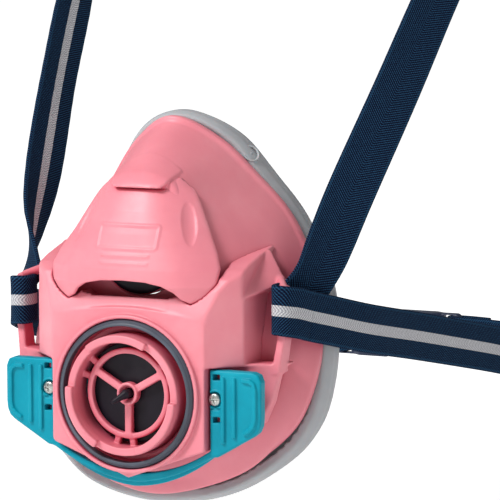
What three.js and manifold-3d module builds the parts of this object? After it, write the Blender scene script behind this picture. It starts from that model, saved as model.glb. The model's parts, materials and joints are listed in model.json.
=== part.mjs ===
// Half-mask respirator with one front filter port, an exhalation valve under a hood,
// a press-to-test lever and an elastic harness, shown as it is worn on a head.
//
// Millimetres, +Z up, the mask faces -Y and the wearer's face is towards +Y.
// The parts are modelled from the centre of the filter port on its gasket plane. The
// exported group is shifted so that its origin is where the port's axis meets the plane
// of the face seal.

import * as THREE from 'three';
import { ConvexGeometry } from 'three/addons/geometries/ConvexGeometry.js';
import { mergeVertices } from 'three/addons/utils/BufferGeometryUtils.js';
import Module from 'manifold-3d';

const wasm = await Module();
wasm.setup();

// ---------------------------------------------------------------- driving dimensions

const GAP = 0.3;                 // clearance between neighbouring pieces

const SEAL_PLANE = 46;           // port gasket plane to face-seal plane, along Y
const RIM_PLANE = 36.5;          // back edge of the moulded shell, before its sweep
const SWEEP_FROM = 12.5;         // depth where the sweep of the rim starts
const SHELL_FRONT = 12.5;        // front wall of the moulded shell
const SHELL_WALL = 2.4;
const FACEPIECE_WALL = 2.2;
const SEAL_LIP = 50;             // furthest back the rolled lip reaches

const HOUSING_FACE = 2.3;        // front face of the port housing
const HOUSING_HALF = 27.2;       // half width of the housing between the lever pads
const EAR_EDGE = 36.8;           // half width at the ear block
const EAR_EDGE_Y = 11.4;
const BAR_X = [45.6, 48.1];      // strap bar beside the ear block
const BAR_Y = [17.2, 23.2];
const BAR_TOP = 38.5;
const SLOT_BOTTOM = 10;
const SLOT_TOP = 31.4;           // at the ear block, the roof of the slot climbs to the bar
const SLOT_RISE = 6;

const COLLAR_R = 19.5;           // bayonet collar
const COLLAR_BORE = 17;
const LUG_FACE = -3.7;
const COLLAR_BACK = 7.1;
const GASKET_IN = 21.9;
const GASKET_OUT = 24;
const LIP_R = 25.5;
const SPIDER_Y = [2.6, 5];       // valve spider, front and back
const HUB_R = 3.65;
const STEM_HOLE = 1.75;

const VALVE_IN_R = 16.2;         // inhalation valve
const VALVE_IN_Y = [5.3, 6.1];
const PORT_HOLE = 12.5;          // hole that the shutter closes

const LEVER_FACE = 4.9;
const LEVER_BACK = 8.8;
const PAD_STOP = 12.65;          // plate behind each lever pad
const PAD_TOP = 9.4;
const WING_FRONT = 12.7;
const SHUTTER_Y = [7.6, 8.8];
const SHUTTER_R = 14.5;
const SCREW = { x: 29.6, z: -0.3, head: 2.25, shank: 1.2 };
const SPRING = { x: 34.2, r: 1.7, wire: 0.3, pocket: 2.4, y0: 6.8, y1: 12.4 };

const VALVE_OUT_Z = 44.5;        // exhalation valve
const VALVE_OUT_R = 13.5;
const VALVE_OUT_HOLE = 14.2;
const SEAT_FRONT = 12.2;

const STRAP_W = 16;              // elastic webbing
const STRAP_T = 1.5;

const ROUND = 36;                // sides of the large round pieces

// ---------------------------------------------------------------- materials

const material = (color, roughness, metalness = 0) =>
  new THREE.MeshStandardMaterial({ color, roughness, metalness });

const pink = () => material(0xf2a0ab, 0.5);
const silicone = () => material(0xa9aeb4, 0.55);
const teal = () => material(0x0f9fc0, 0.42);
const blackRubber = () => material(0x17151a, 0.6);
const greyRubber = () => material(0x454b57, 0.5);
const navy = () => material(0x16263f, 0.85);
const navyPlastic = () => material(0x1b2a44, 0.5);
const zinc = () => material(0xb9bcbc, 0.35, 0.9);
const springSteel = () => material(0x8e9296, 0.3, 1);

// ---------------------------------------------------------------- geometry helpers

const assembly = new THREE.Group();
assembly.position.y = -SEAL_PLANE;

function place(name, geometry, finish) {
  const mesh = new THREE.Mesh(geometry, finish);
  mesh.name = name;
  assembly.add(mesh);
}

// Keeps only the positions, welds them and turns the faces outwards.
function welded(geometry) {
  const plain = new THREE.BufferGeometry();
  plain.setAttribute('position', geometry.getAttribute('position').clone());
  if (geometry.index) plain.setIndex(geometry.index.clone());
  const merged = mergeVertices(plain, 1e-4);
  const p = merged.getAttribute('position');
  const index = Array.from(merged.index.array);
  const corner = (k) => new THREE.Vector3().fromBufferAttribute(p, index[k]);
  const kept = [];
  let volume = 0;
  for (let k = 0; k < index.length; k += 3) {
    const [a, b, c] = index.slice(k, k + 3);
    if (a === b || b === c || c === a) continue;
    volume += corner(k).dot(corner(k + 1).cross(corner(k + 2)));
    kept.push(a, b, c);
  }
  if (volume < 0) kept.reverse();
  merged.setIndex(kept);
  return merged;
}

function solid(geometry) {
  const g = welded(geometry);
  const vertProperties = new Float32Array(g.getAttribute('position').array);
  const triVerts = new Uint32Array(g.index.array);
  return new wasm.Manifold(new wasm.Mesh({ numProp: 3, vertProperties, triVerts }));
}

function geometryOf(body) {
  const mesh = body.getMesh();
  const geometry = new THREE.BufferGeometry();
  geometry.setAttribute('position', new THREE.BufferAttribute(mesh.vertProperties, 3));
  geometry.setIndex(new THREE.BufferAttribute(mesh.triVerts, 1));
  return geometry;
}

const joined = (first, ...others) => others.reduce((sum, next) => sum.add(next), first);
const cut = (first, ...others) => others.reduce((rest, next) => rest.subtract(next), first);

// Outline in X and Z, extruded along Y from y0 to y1.
function plate(shape, y0, y1, curveSegments = 8) {
  const options = { depth: y1 - y0, bevelEnabled: false, curveSegments };
  const geometry = new THREE.ExtrudeGeometry(shape, options);
  return solid(geometry.rotateX(Math.PI / 2).translate(0, y1, 0));
}

function block([x0, x1], [y0, y1], [z0, z1]) {
  const geometry = new THREE.BoxGeometry(x1 - x0, y1 - y0, z1 - z0);
  return solid(geometry.translate((x0 + x1) / 2, (y0 + y1) / 2, (z0 + z1) / 2));
}

// Round bar along Y.
function rod(x, z, r, y0, y1, sides = 24) {
  const geometry = new THREE.CylinderGeometry(r, r, y1 - y0, sides);
  return solid(geometry.translate(x, (y0 + y1) / 2, z));
}

// Ring or disc about the port axis, from a closed profile of [radius, y] points.
function turned(profile, sides = 40) {
  const points = [...profile, profile[0]].map(([r, y]) => new THREE.Vector2(r, y));
  return solid(new THREE.LatheGeometry(points, sides));
}

function ring(inner, outer, y0, y1, sides = 40) {
  return turned([[inner, y0], [outer, y0], [outer, y1], [inner, y1]], sides);
}

function hull(points) {
  return solid(new ConvexGeometry(points.map((p) => new THREE.Vector3(...p))));
}

const mirrored = (points, side) => points.map(([x, y, z]) => [side * x, y, z]);

// Closed skin over sections that all have the same number of points, with flat ends.
function loft(sections) {
  const count = sections[0].length;
  const position = sections.flat().flatMap((p) => [p.x, p.y, p.z]);
  const index = [];
  for (let s = 0; s + 1 < sections.length; s += 1) {
    for (let k = 0; k < count; k += 1) {
      const a = s * count + k;
      const b = s * count + ((k + 1) % count);
      index.push(a, b, a + count, b, b + count, a + count);
    }
  }
  for (const [end, flip] of [[0, true], [sections.length - 1, false]]) {
    const centre = position.length / 3;
    const mean = new THREE.Vector3();
    sections[end].forEach((p) => mean.addScaledVector(p, 1 / count));
    position.push(mean.x, mean.y, mean.z);
    for (let k = 0; k < count; k += 1) {
      const a = end * count + k;
      const b = end * count + ((k + 1) % count);
      index.push(...(flip ? [b, a, centre] : [a, b, centre]));
    }
  }
  const geometry = new THREE.BufferGeometry();
  geometry.setAttribute('position', new THREE.Float32BufferAttribute(position, 3));
  geometry.setIndex(index);
  return geometry;
}

// ---------------------------------------------------------------- mask outlines

// Right half of each outline, from the nose down to the chin, at its depth before the sweep.
const OUTLINES = [
  { y: 12.5, half: [[0, 69.6], [9.8, 66.8], [14.5, 60.5], [20.5, 50.5], [28, 37], [30, 25],
    [29, 8], [26.5, -8], [16, -19], [0, -24]] },
  { y: 18, half: [[0, 75.4], [10.5, 70.7], [17.5, 61.1], [25.4, 50.6], [32.9, 36.7], [34.3, 23.8],
    [34.3, 8], [31.6, -9], [20.7, -21.3], [0, -27.2]] },
  { y: 24, half: [[0, 79.8], [11.6, 74], [21, 61.7], [30.8, 49.6], [37.6, 36.3], [39.6, 23.6],
    [39.8, 8], [36.8, -10.8], [24.8, -24.5], [0, -30.2]] },
  { y: 30, half: [[0, 83.3], [13.5, 76.3], [24.6, 62.8], [35.6, 49.6], [42.8, 36], [44.8, 23.4],
    [45.6, 6.9], [42.6, -12.6], [29, -27.5], [0, -33.2]] },
  { y: 36.5, half: [[0, 86.5], [15.1, 78.6], [27.5, 64.8], [38.6, 50.6], [47.4, 34.7], [51, 19.3],
    [51.5, 4.9], [46.7, -11], [34.9, -22.9], [22, -30.8], [0, -35.6]] },
];
const SEAL_OUTLINE = { y: SEAL_PLANE, half: [[0, 88], [16.8, 81], [29.7, 63.4], [39.7, 49.6],
  [49, 32.7], [53.1, 17.4], [53.8, 0], [50.7, -13.3], [41.8, -24.6], [24.2, -35.4], [0, -39.4]] };
const OUTLINE_POINTS = 38;

// The rim is a saddle: how far it lies behind its nominal depth, as [height, distance].
const SWEEP = [[-40, -14.8], [-34, -13.2], [-28, -9.6], [-23, -6.8], [-15, -4.4], [5, 1], [25, 7],
  [45, 13], [52, 14.7], [57, 15], [62, 13.8], [67, 11.5], [76, 7.9], [84, 3], [88, 0]];

function sweptDepth(y, z) {
  const height = THREE.MathUtils.clamp(z, SWEEP[0][0], SWEEP.at(-1)[0]);
  const next = Math.max(1, SWEEP.findIndex(([stop]) => stop >= height));
  const [[z0, low], [z1, high]] = [SWEEP[next - 1], SWEEP[next]];
  const back = THREE.MathUtils.mapLinear(height, z0, z1, low, high);
  return y + back * THREE.MathUtils.clamp((y - SWEEP_FROM) / (RIM_PLANE - SWEEP_FROM), 0, 1);
}

function closedOutline(half) {
  const left = half.slice(1, -1).reverse().map(([x, z]) => [-x, z]);
  const points = [...half, ...left].map(([x, z]) => new THREE.Vector3(x, 0, z));
  const curve = new THREE.CatmullRomCurve3(points, true, 'centripetal');
  return curve.getSpacedPoints(OUTLINE_POINTS).slice(0, OUTLINE_POINTS);
}

const STATIONS = [...OUTLINES, SEAL_OUTLINE].map(({ y, half }) => (
  { y, points: closedOutline(half) }));

// Outline at any depth, moved inwards by a distance measured in its own plane and then
// back by a lift.
function outlineAt(y, inset = 0, lift = 0) {
  const after = Math.max(1, STATIONS.findIndex((s) => s.y >= y - 1e-6));
  const [a, b] = [STATIONS[after - 1], STATIONS[after]];
  const t = (y - a.y) / (b.y - a.y);
  const base = a.points.map((p, k) => p.clone().lerp(b.points[k], t));
  return base.map((p, k) => {
    const before = base[(k + OUTLINE_POINTS - 1) % OUTLINE_POINTS];
    const next = base[(k + 1) % OUTLINE_POINTS];
    const along = next.clone().sub(before).normalize();
    const [x, z] = [p.x + along.z * inset, p.z - along.x * inset];
    return new THREE.Vector3(x, sweptDepth(y, z) + lift, z);
  });
}

const maskSkin = (depths, inset) => solid(loft(depths.map((y) => outlineAt(y, inset))));

// ---------------------------------------------------------------- moulded shell

const OUTER_DEPTHS = [12.5, 18, 24, 30, RIM_PLANE];
const INNER_DEPTHS = [18, 24, 30, RIM_PLANE];
const RIM_OVERRUN = 1.5;

// Tongue of the shell that laps over the top of the hood.
const TAB_HALF = [[9.2, 8.9, 65.3], [9.2, 12, 65.3], [12, 15, 73], [12, 17, 66], [9.5, 11.2, 69]];

function shell() {
  const outer = maskSkin(OUTER_DEPTHS, 0);
  const inner = maskSkin([SHELL_FRONT + SHELL_WALL, ...INNER_DEPTHS, RIM_PLANE + RIM_OVERRUN],
    SHELL_WALL);
  const tab = hull([...mirrored(TAB_HALF, 1), ...mirrored(TAB_HALF, -1)]);
  const holes = [
    rod(0, 0, PORT_HOLE, 10, 20, 24),
    rod(0, VALVE_OUT_Z, VALVE_OUT_HOLE, 10, 20, 24),
    rod(SCREW.x, SCREW.z, SCREW.shank + GAP, 10, 16),
    rod(-SCREW.x, SCREW.z, SCREW.shank + GAP, 10, 16),
  ];
  return cut(joined(outer, cut(tab, inner)), inner, ...holes);
}

// ---------------------------------------------------------------- soft facepiece

const FACEPIECE_INSET = SHELL_WALL + GAP + 0.1;
const LIP_DEPTH = SEAL_LIP - SEAL_PLANE;
const LIP_WALL = 1.5;
const LIP_REACH = 12;            // width of the rolled lip

function facepiece() {
  const front = SHELL_FRONT + SHELL_WALL + GAP;
  const skirt = [front, ...INNER_DEPTHS].map((y) => outlineAt(y, FACEPIECE_INSET));
  const flare = [outlineAt(RIM_PLANE + GAP, FACEPIECE_INSET), outlineAt(RIM_PLANE + GAP, 0.2),
    outlineAt(SEAL_PLANE, 0)];
  const roll = outlineAt(SEAL_PLANE, 3, LIP_DEPTH);
  const outer = solid(loft([...skirt, ...flare, roll]));
  const wall = FACEPIECE_INSET + FACEPIECE_WALL;
  const chamber = [front + FACEPIECE_WALL, ...INNER_DEPTHS].map((y) => outlineAt(y, wall));
  const underLip = outlineAt(SEAL_PLANE - LIP_WALL, 4);
  const lipStart = outlineAt(SEAL_PLANE - LIP_WALL, LIP_REACH, LIP_WALL + 0.6);
  const mouth = outlineAt(SEAL_PLANE, LIP_REACH - 2, LIP_DEPTH + 1);
  const hollow = solid(loft([...chamber, underLip, lipStart, mouth]));
  const holes = [rod(0, 0, PORT_HOLE, 10, 20, 24), rod(0, VALVE_OUT_Z, VALVE_OUT_HOLE, 10, 20, 24)];
  return cut(outer, hollow, ...holes);
}

// ---------------------------------------------------------------- port housing

const HOUSING_BACK = SHELL_FRONT - GAP;

function housingFace() {
  const shape = new THREE.Shape();
  const tangent = -69.6 * Math.PI / 180;
  shape.moveTo(HOUSING_HALF, -16.8);
  shape.lineTo(HOUSING_HALF, 23.5);
  shape.quadraticCurveTo(14, 27.6, 0, 27.9);
  shape.quadraticCurveTo(-14, 27.6, -HOUSING_HALF, 23.5);
  shape.lineTo(-HOUSING_HALF, -16.8);
  shape.lineTo(-LIP_R * Math.cos(tangent), LIP_R * Math.sin(tangent));
  shape.absarc(0, 0, LIP_R, Math.PI - tangent, 2 * Math.PI + tangent, false);
  shape.lineTo(HOUSING_HALF, -16.8);
  return shape;
}

// Ear on one side: chamfered block, arm that runs back along the dome, strap bar with its
// strut and the plate behind the lever pad.
function ear(side) {
  const [barIn, barOut] = BAR_X;
  const [barFront, barBack] = BAR_Y;
  const cheek = hull(mirrored([[20, HOUSING_FACE, 9.5], [26.8, HOUSING_FACE, 9.5],
    [EAR_EDGE, EAR_EDGE_Y, 9.5], [EAR_EDGE, 20, 9.5], [20, 14, 9.5], [20, HOUSING_FACE, 24],
    [26.8, HOUSING_FACE, 24], [EAR_EDGE, EAR_EDGE_Y, SLOT_TOP], [EAR_EDGE, 22, 35],
    [22, 12, 31], [22, 14, 31]], side));
  const arm = hull(mirrored([[26, 8, 30], [32, 7, 34.3], [EAR_EDGE, EAR_EDGE_Y, SLOT_TOP],
    [35.4, 12.8, 39.2], [EAR_EDGE, 24, SLOT_TOP], [35.8, 18, 41.8], [35.9, 26.7, 45.2],
    [30, 26.7, 43], [36.6, 42, 46.3], [38, 42, 42], [EAR_EDGE, 30, 33]], side));
  const strut = hull(mirrored([[EAR_EDGE, EAR_EDGE_Y, SLOT_TOP], [EAR_EDGE, 24, SLOT_TOP],
    [barIn, barFront, BAR_TOP - 1], [barOut, barFront, BAR_TOP - 2], [barIn, barBack, BAR_TOP - 1],
    [barOut, barBack, BAR_TOP - 2], [38.9, 27, 43.5], [36.6, 24, 43.5], [38.9, 30, 43]], side));
  const bar = hull(mirrored([7, BAR_TOP].flatMap((z) => BAR_X.flatMap((x) => (
    BAR_Y.map((y) => [x, y, z])))), side));
  const wing = hull(mirrored([[26, WING_FRONT, SLOT_BOTTOM], [EAR_EDGE, WING_FRONT, SLOT_BOTTOM],
    [barOut, 16.5, SLOT_BOTTOM], [barOut, barBack, SLOT_BOTTOM], [26, 17, SLOT_BOTTOM],
    [26, WING_FRONT, -8], [37, WING_FRONT, -9], [41, 16, -8], [43, 22, -8], [26, 17, -8]], side));
  const base = hull(mirrored([[26, WING_FRONT, -13], [32, WING_FRONT, -11], [37, WING_FRONT, -9],
    [26, WING_FRONT, -8], [26, 16, -13], [36, 17, -9], [26, 17, -8]], side));
  return joined(cheek, arm, strut, bar, wing, base);
}

// Slot between the ear block and the strap bar, with a roof that climbs outwards.
function strapSlot(side) {
  const [x0, x1] = [EAR_EDGE, BAR_X[0]];
  return hull(mirrored([5, 32].flatMap((y) => [[x0, y, SLOT_BOTTOM], [x1, y, SLOT_BOTTOM],
    [x0, y, SLOT_TOP], [x1, y, SLOT_TOP + SLOT_RISE]]), side));
}

function housing() {
  const core = plate(housingFace(), HOUSING_FACE, HOUSING_BACK, 8);
  const shelf = hull([[-24, HOUSING_FACE, 22], [24, HOUSING_FACE, 22], [-24, HOUSING_BACK, 22],
    [24, HOUSING_BACK, 22], [-20, 6, 28], [20, 6, 28], [-20, HOUSING_BACK, 28],
    [20, HOUSING_BACK, 28]]);
  const lip = ring(GASKET_OUT + 0.2, LIP_R, 0.8, HOUSING_FACE + 1, ROUND);
  const body = joined(core, shelf, lip, ear(1), ear(-1));
  const chamber = rod(0, 0, COLLAR_R + GAP, -5, 25, ROUND);
  const groove = ring(GASKET_IN - 0.2, GASKET_OUT + 0.2, -1, 3.6, ROUND);
  const window = block([-32, 32], [SHUTTER_Y[0] - GAP, HOUSING_BACK + 1], [-4, 4]);
  const shellSpace = cut(maskSkin(OUTER_DEPTHS, -GAP), block([-60, 60], [10, 12.2], [-60, 100]));
  const padSpace = (side) => block(side > 0 ? [HOUSING_HALF, 50] : [-50, -HOUSING_HALF],
    [0, PAD_STOP], [-20, PAD_TOP]);
  const screwHoles = [1, -1].map((side) => (
    rod(side * SCREW.x, SCREW.z, SCREW.shank + GAP, 10, 18)));
  const outlet = hull([[-14, 0, 36], [14, 0, 36], [-14, 13, 36], [14, 13, 36], [-12, 7, 29.2],
    [12, 7, 29.2], [-12, 13, 29.2], [12, 13, 29.2]]);
  return cut(body, chamber, groove, window, shellSpace, padSpace(1), padSpace(-1),
    strapSlot(1), strapSlot(-1), outlet, ...screwHoles);
}

// ---------------------------------------------------------------- filter port

const LUG_ANGLES = [95, 208, 322];
const SPOKE_ANGLES = [30, 150, 270];

function sector(inner, outer, from, to, y0, y1) {
  const shape = new THREE.Shape();
  shape.absarc(0, 0, outer, from, to, false);
  shape.absarc(0, 0, inner, to, from, true);
  return plate(shape, y0, y1, 8);
}

function turnedAboutPort(body, degrees) {
  return body.rotate([0, -degrees, 0]);
}

function bayonetCollar() {
  const rad = Math.PI / 180;
  const tube = ring(COLLAR_BORE, COLLAR_R, -1.6, COLLAR_BACK, ROUND);
  const lugs = LUG_ANGLES.map((a) => (
    sector(COLLAR_BORE, COLLAR_R, (a - 34) * rad, (a + 34) * rad, LUG_FACE, -1)));
  const spiderRing = ring(12.8, 14.6, ...SPIDER_Y, 28);
  const hub = rod(0, 0, HUB_R, ...SPIDER_Y, 16);
  const spokes = SPOKE_ANGLES.map((a) => (
    turnedAboutPort(block([3, 13.4], SPIDER_Y, [-1.2, 1.2]), a)));
  const gapAngles = [151.5, 265, 28.5];
  const bars = gapAngles.flatMap((a) => [a - 10, a + 10]).map((a) => (
    turnedAboutPort(block([14, COLLAR_BORE + 0.6], [SPIDER_Y[0] + 0.6, SPIDER_Y[1]],
      [-1, 1]), a)));
  const body = joined(tube, ...lugs, spiderRing, hub, ...spokes, ...bars);
  return cut(body, rod(0, 0, STEM_HOLE, 0, 8, 12));
}

const gasket = () => turned([[GASKET_IN, 3.2], [GASKET_OUT, 3.2], [GASKET_OUT, 1.7],
  [22.8, 0.2], [GASKET_IN, 0]], ROUND);

function inhalationValve() {
  const disc = turned([[0, VALVE_IN_Y[0]], [VALVE_IN_R, VALVE_IN_Y[0] + 0.2],
    [VALVE_IN_R, VALVE_IN_Y[1]], [0, VALVE_IN_Y[1]]], 24);
  const stem = rod(0, 0, STEM_HOLE - GAP, 0.4, VALVE_IN_Y[0] + 0.3, 12);
  const tail = hull([[-0.9, 0.6, -0.9], [0.9, 0.6, -0.9], [0.9, 0.6, 0.9], [-0.9, 0.6, 0.9],
    [-2.6, -1.6, -2.2], [-1.6, -1.9, -2.6], [-1.8, -2, -1.6]]);
  return joined(disc, stem, tail);
}

// ---------------------------------------------------------------- exhalation valve

const aboutExhalation = (body) => body.translate([0, 0, VALVE_OUT_Z]);

function exhalationSeat() {
  const tube = ring(11.6, 13.9, SEAT_FRONT, 17.6, 24);
  const hub = rod(0, 0, 3, SEAT_FRONT + 0.8, 15, 12);
  const spokes = [90, 210, 330].map((a) => (
    turnedAboutPort(block([2.4, 12.4], [SEAT_FRONT + 0.8, 15], [-1, 1]), a)));
  return aboutExhalation(cut(joined(tube, hub, ...spokes), rod(0, 0, 1.7, 10, 20, 12)));
}

function exhalationValve() {
  const disc = turned([[0, 10.7], [VALVE_OUT_R, 11.2], [VALVE_OUT_R, 11.9], [0, 11.9]], 24);
  const stem = rod(0, 0, 1.4, 11.6, 18.2, 12);
  const barb = turned([[0, 17.4], [2.2, 17.4], [1.2, 19.6], [0, 19.6]], 12);
  return aboutExhalation(joined(disc, stem, barb));
}

// Hood over the exhalation valve: [height, half width, edge depth, ridge depth].
const HOOD_SECTIONS = [
  [29.6, 22.3, 5, 1.2], [35, 27.6, 6.5, -1.4], [40, 29.8, 8.3, -0.6], [45, 27, 10.6, 0.8],
  [51, 22.4, 12, 2.8], [58, 15.6, 12.1, 5.8], [63.6, 9.2, 12.1, 8.8],
];
const HOOD_AXIS = { y: 11.2, z: 64.6 };
const HOOD_WALL = 1.8;

// Closed arch section: a rounded front and a flat back.
function archSection(z, half, edge, ridge, back) {
  const front = Array.from({ length: 11 }, (_, k) => {
    const a = Math.PI * (k / 10);
    const x = -half * Math.cos(a);
    const y = edge + (ridge - edge) * Math.pow(Math.sin(a), 0.8);
    return new THREE.Vector3(x, y, z);
  });
  return [...front, new THREE.Vector3(half, back, z), new THREE.Vector3(-half, back, z)];
}

function valveHood() {
  const outer = solid(loft(HOOD_SECTIONS.map(([z, half, edge, ridge]) => (
    archSection(z, half, edge, ridge, edge + 0.1)))));
  const inner = solid(loft(HOOD_SECTIONS.map(([z, half, edge, ridge], k) => (
    archSection(k ? z - 0.8 : z - 2, half - HOOD_WALL, edge, ridge + HOOD_WALL, edge + 3)))));
  const arch = new THREE.Shape();
  arch.moveTo(-17, 28);
  arch.lineTo(-16, 32.6);
  arch.quadraticCurveTo(-14.5, 35, -10, 35.6);
  arch.quadraticCurveTo(0, 37.2, 10, 35.6);
  arch.quadraticCurveTo(14.5, 35, 16, 32.6);
  arch.lineTo(17, 28);
  return cut(outer, inner, plate(arch, -8, 14, 4));
}

// ---------------------------------------------------------------- press-to-test lever

function leverOutline() {
  const shape = new THREE.Shape();
  shape.moveTo(0, -28.9);
  shape.quadraticCurveTo(14, -28.6, 30.2, -16.8);
  shape.lineTo(43.2, -9.2);
  shape.quadraticCurveTo(45.5, -8, 45.5, -5.5);
  shape.lineTo(45.5, 5.6);
  shape.quadraticCurveTo(45.4, 9, 42, 9);
  shape.lineTo(27.8, 9);
  shape.lineTo(27.8, -17.2);
  shape.quadraticCurveTo(14, -26.1, 0, -26.1);
  shape.quadraticCurveTo(-14, -26.1, -27.8, -17.2);
  shape.lineTo(-27.8, 9);
  shape.lineTo(-42, 9);
  shape.quadraticCurveTo(-45.4, 9, -45.5, 5.6);
  shape.lineTo(-45.5, -5.5);
  shape.quadraticCurveTo(-45.5, -8, -43.2, -9.2);
  shape.lineTo(-30.2, -16.8);
  shape.quadraticCurveTo(-14, -28.6, 0, -28.9);
  return shape;
}

function leverLedge() {
  const shape = new THREE.Shape();
  shape.moveTo(0, -30.6);
  shape.quadraticCurveTo(15, -30.2, 31.5, -17.6);
  shape.lineTo(29.6, -16.4);
  shape.quadraticCurveTo(14, -27.8, 0, -27.8);
  shape.quadraticCurveTo(-14, -27.8, -29.6, -16.4);
  shape.lineTo(-31.5, -17.6);
  shape.quadraticCurveTo(-15, -30.2, 0, -30.6);
  return shape;
}

function testLever() {
  const body = joined(plate(leverOutline(), LEVER_FACE, LEVER_BACK, 5),
    plate(leverLedge(), 7.4, LEVER_BACK + 1.4, 5));
  const ribs = [1, -1].flatMap((s) => [[32.4, -12, 6.6], [36, -10, 6.6], [41.6, -5, 5.4]].map(
    ([x, z0, z1]) => block([s * x - 0.6, s * x + 0.6], [LEVER_FACE - 0.9, LEVER_FACE + 0.5],
      [z0, z1])));
  const cuts = [1, -1].flatMap((s) => [
    rod(s * SCREW.x, SCREW.z, SCREW.shank + GAP, 0, 12, 12),
    rod(s * SCREW.x, SCREW.z, SCREW.head + GAP, 0, 5.8, 16),
    rod(s * SPRING.x, SCREW.z, SPRING.pocket, SPRING.y0 - GAP, 12, 12),
    block([s * 29.3 - 1.5, s * 29.3 + 1.5], [0, 12], [5.8, 7.7]),
    block([s * 29.3 - 1.5, s * 29.3 + 1.5], [0, 12], [-7.8, -5.9]),
  ]);
  return cut(joined(body, ...ribs), ...cuts);
}

function shutter() {
  const disc = rod(0, 0, SHUTTER_R, ...SHUTTER_Y, 24);
  const arms = block([-HOUSING_HALF - 0.3, HOUSING_HALF + 0.3], SHUTTER_Y, [-3, 3]);
  return joined(disc, arms);
}

function leverScrew(side) {
  const head = rod(side * SCREW.x, SCREW.z, SCREW.head, 4, 5.5, 14);
  const shank = rod(side * SCREW.x, SCREW.z, SCREW.shank, 5.4, 15.5, 8);
  const cross = [[1.3, 0.3], [0.3, 1.3]].map(([w, h]) => (
    block([side * SCREW.x - w, side * SCREW.x + w], [3.8, 4.6], [SCREW.z - h, SCREW.z + h])));
  return cut(joined(head, shank), ...cross);
}

// Compression spring in a pocket of the lever pad, against the plate behind it.
class Helix extends THREE.Curve {
  constructor(x, z, r, y0, y1, turns) {
    super();
    Object.assign(this, { x, z, r, y0, y1, turns });
  }

  getPoint(t, target = new THREE.Vector3()) {
    const a = 2 * Math.PI * this.turns * t;
    return target.set(this.x + this.r * Math.cos(a), this.y0 + (this.y1 - this.y0) * t,
      this.z + this.r * Math.sin(a));
  }
}

function returnSpring(side) {
  const section = new THREE.Shape();
  section.absarc(0, 0, SPRING.wire, 0, 2 * Math.PI, false);
  const path = new Helix(side * SPRING.x, SCREW.z, SPRING.r, SPRING.y0 + SPRING.wire,
    SPRING.y1 - SPRING.wire, 3);
  return solid(new THREE.ExtrudeGeometry(section, { extrudePath: path, steps: 30,
    curveSegments: 2, bevelEnabled: false }));
}

// ---------------------------------------------------------------- elastic harness

// Flat band along a smooth curve. Each stop is [x, y, z, bearing, pitch]: a place on the
// band's middle line, and the way its outer face looks, in degrees from +X towards -Y and up.
function band(stops, { width = STRAP_W, thickness = STRAP_T, steps = 3, side = 1 } = {}) {
  const rad = Math.PI / 180;
  const curve = new THREE.CatmullRomCurve3(stops.map(([x, y, z]) => (
    new THREE.Vector3(side * x, y, z))), false, 'centripetal');
  const faces = stops.map(([, , , bearing, pitch = 0]) => new THREE.Vector3(
    side * Math.cos(bearing * rad) * Math.cos(pitch * rad),
    -Math.sin(bearing * rad) * Math.cos(pitch * rad), Math.sin(pitch * rad)));
  const spans = stops.length - 1;
  const sections = [];
  for (let k = 0; k <= spans * steps; k += 1) {
    const t = k / (spans * steps);
    const span = Math.min(spans - 1, Math.floor(t * spans));
    const along = curve.getTangent(t);
    const face = faces[span].clone().lerp(faces[span + 1], t * spans - span);
    face.addScaledVector(along, -face.dot(along)).normalize();
    const across = new THREE.Vector3().crossVectors(along, face);
    const centre = curve.getPoint(t);
    sections.push([[1, 1], [-1, 1], [-1, -1], [1, -1]].map(([u, v]) => centre.clone()
      .addScaledVector(across, u * width / 2).addScaledVector(face, v * thickness / 2)));
  }
  return solid(loft(sections));
}

// Head straps: from behind the strap bar up the side of the head to the crown. The right
// one lies flat all the way, the left one turns over just above its bar.
const CROWN_STOPS = [[72.4, 121.5, 152, 24, 10], [71, 138, 177, 10, 36], [60, 148, 195, 2, 60],
  [43.4, 153.4, 203.2, 0, 76]];
const HEAD_STOPS = {
  right: [[51.8, 33, 36.6, 36], [53, 38, 43, 46], [55.6, 50.5, 60, 60], [61.6, 76.8, 93.7, 54],
    [66.6, 100.6, 124.3, 42, -4], ...CROWN_STOPS],
  left: [[53.8, 37, 37, 46], [57.2, 45.4, 47.5, 6], [59.4, 56, 63, -22], [64.2, 77, 94.5, -23],
    [69, 100.6, 125.3, -22, -4], ...CROWN_STOPS],
};
// Loop round the strap bar.
const LOOP_STOPS = [
  [48.2, 26, 26.9, 266], [45.5, 24.8, 26.6, 228], [44.2, 22.2, 26.6, 182], [44.2, 18.2, 26.6, 176],
  [45.2, 16.1, 26.6, 125], [47.4, 15.7, 26.5, 82], [49.4, 17.2, 26.3, 38], [51, 20.8, 25.9, 18],
  [52.2, 24.6, 25.1, 17],
];
// Neck strap: straight back along the jaw, through the slider and round the nape.
const NECK_STOPS = [
  [52.6, 26, 24.6, 17], [61, 53, 17.9, 14], [66.2, 84, 11.5, 12], [75, 122, 3.2, 10],
  [79.6, 142, -1.4, 4], [80.9, 150, -2.85, 0], [80.9, 157, -3.72, 0], [80.9, 171, -5.47, 0],
  [80.9, 179, -6.47, -2], [76, 198, -8.4, -24], [62, 216, -10.2, -50], [45, 226, -11.2, -70],
  [27, 229, -11.4, -80],
];

// Slider that takes up the neck strap: a flat frame whose window the strap runs through.
const SLIDER = { centre: [80.9, 164, -4.6], pitchDown: 7.125 };

function strapSlider(side) {
  const frame = cut(block([-2.6, 2.6], [-7, 7], [-11.5, 11.5]),
    block([-1.4, 1.4], [-8, 8], [-8.6, 8.6]));
  return frame.rotate([-SLIDER.pitchDown, 0, 0])
    .translate([side * SLIDER.centre[0], SLIDER.centre[1], SLIDER.centre[2]]);
}

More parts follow.
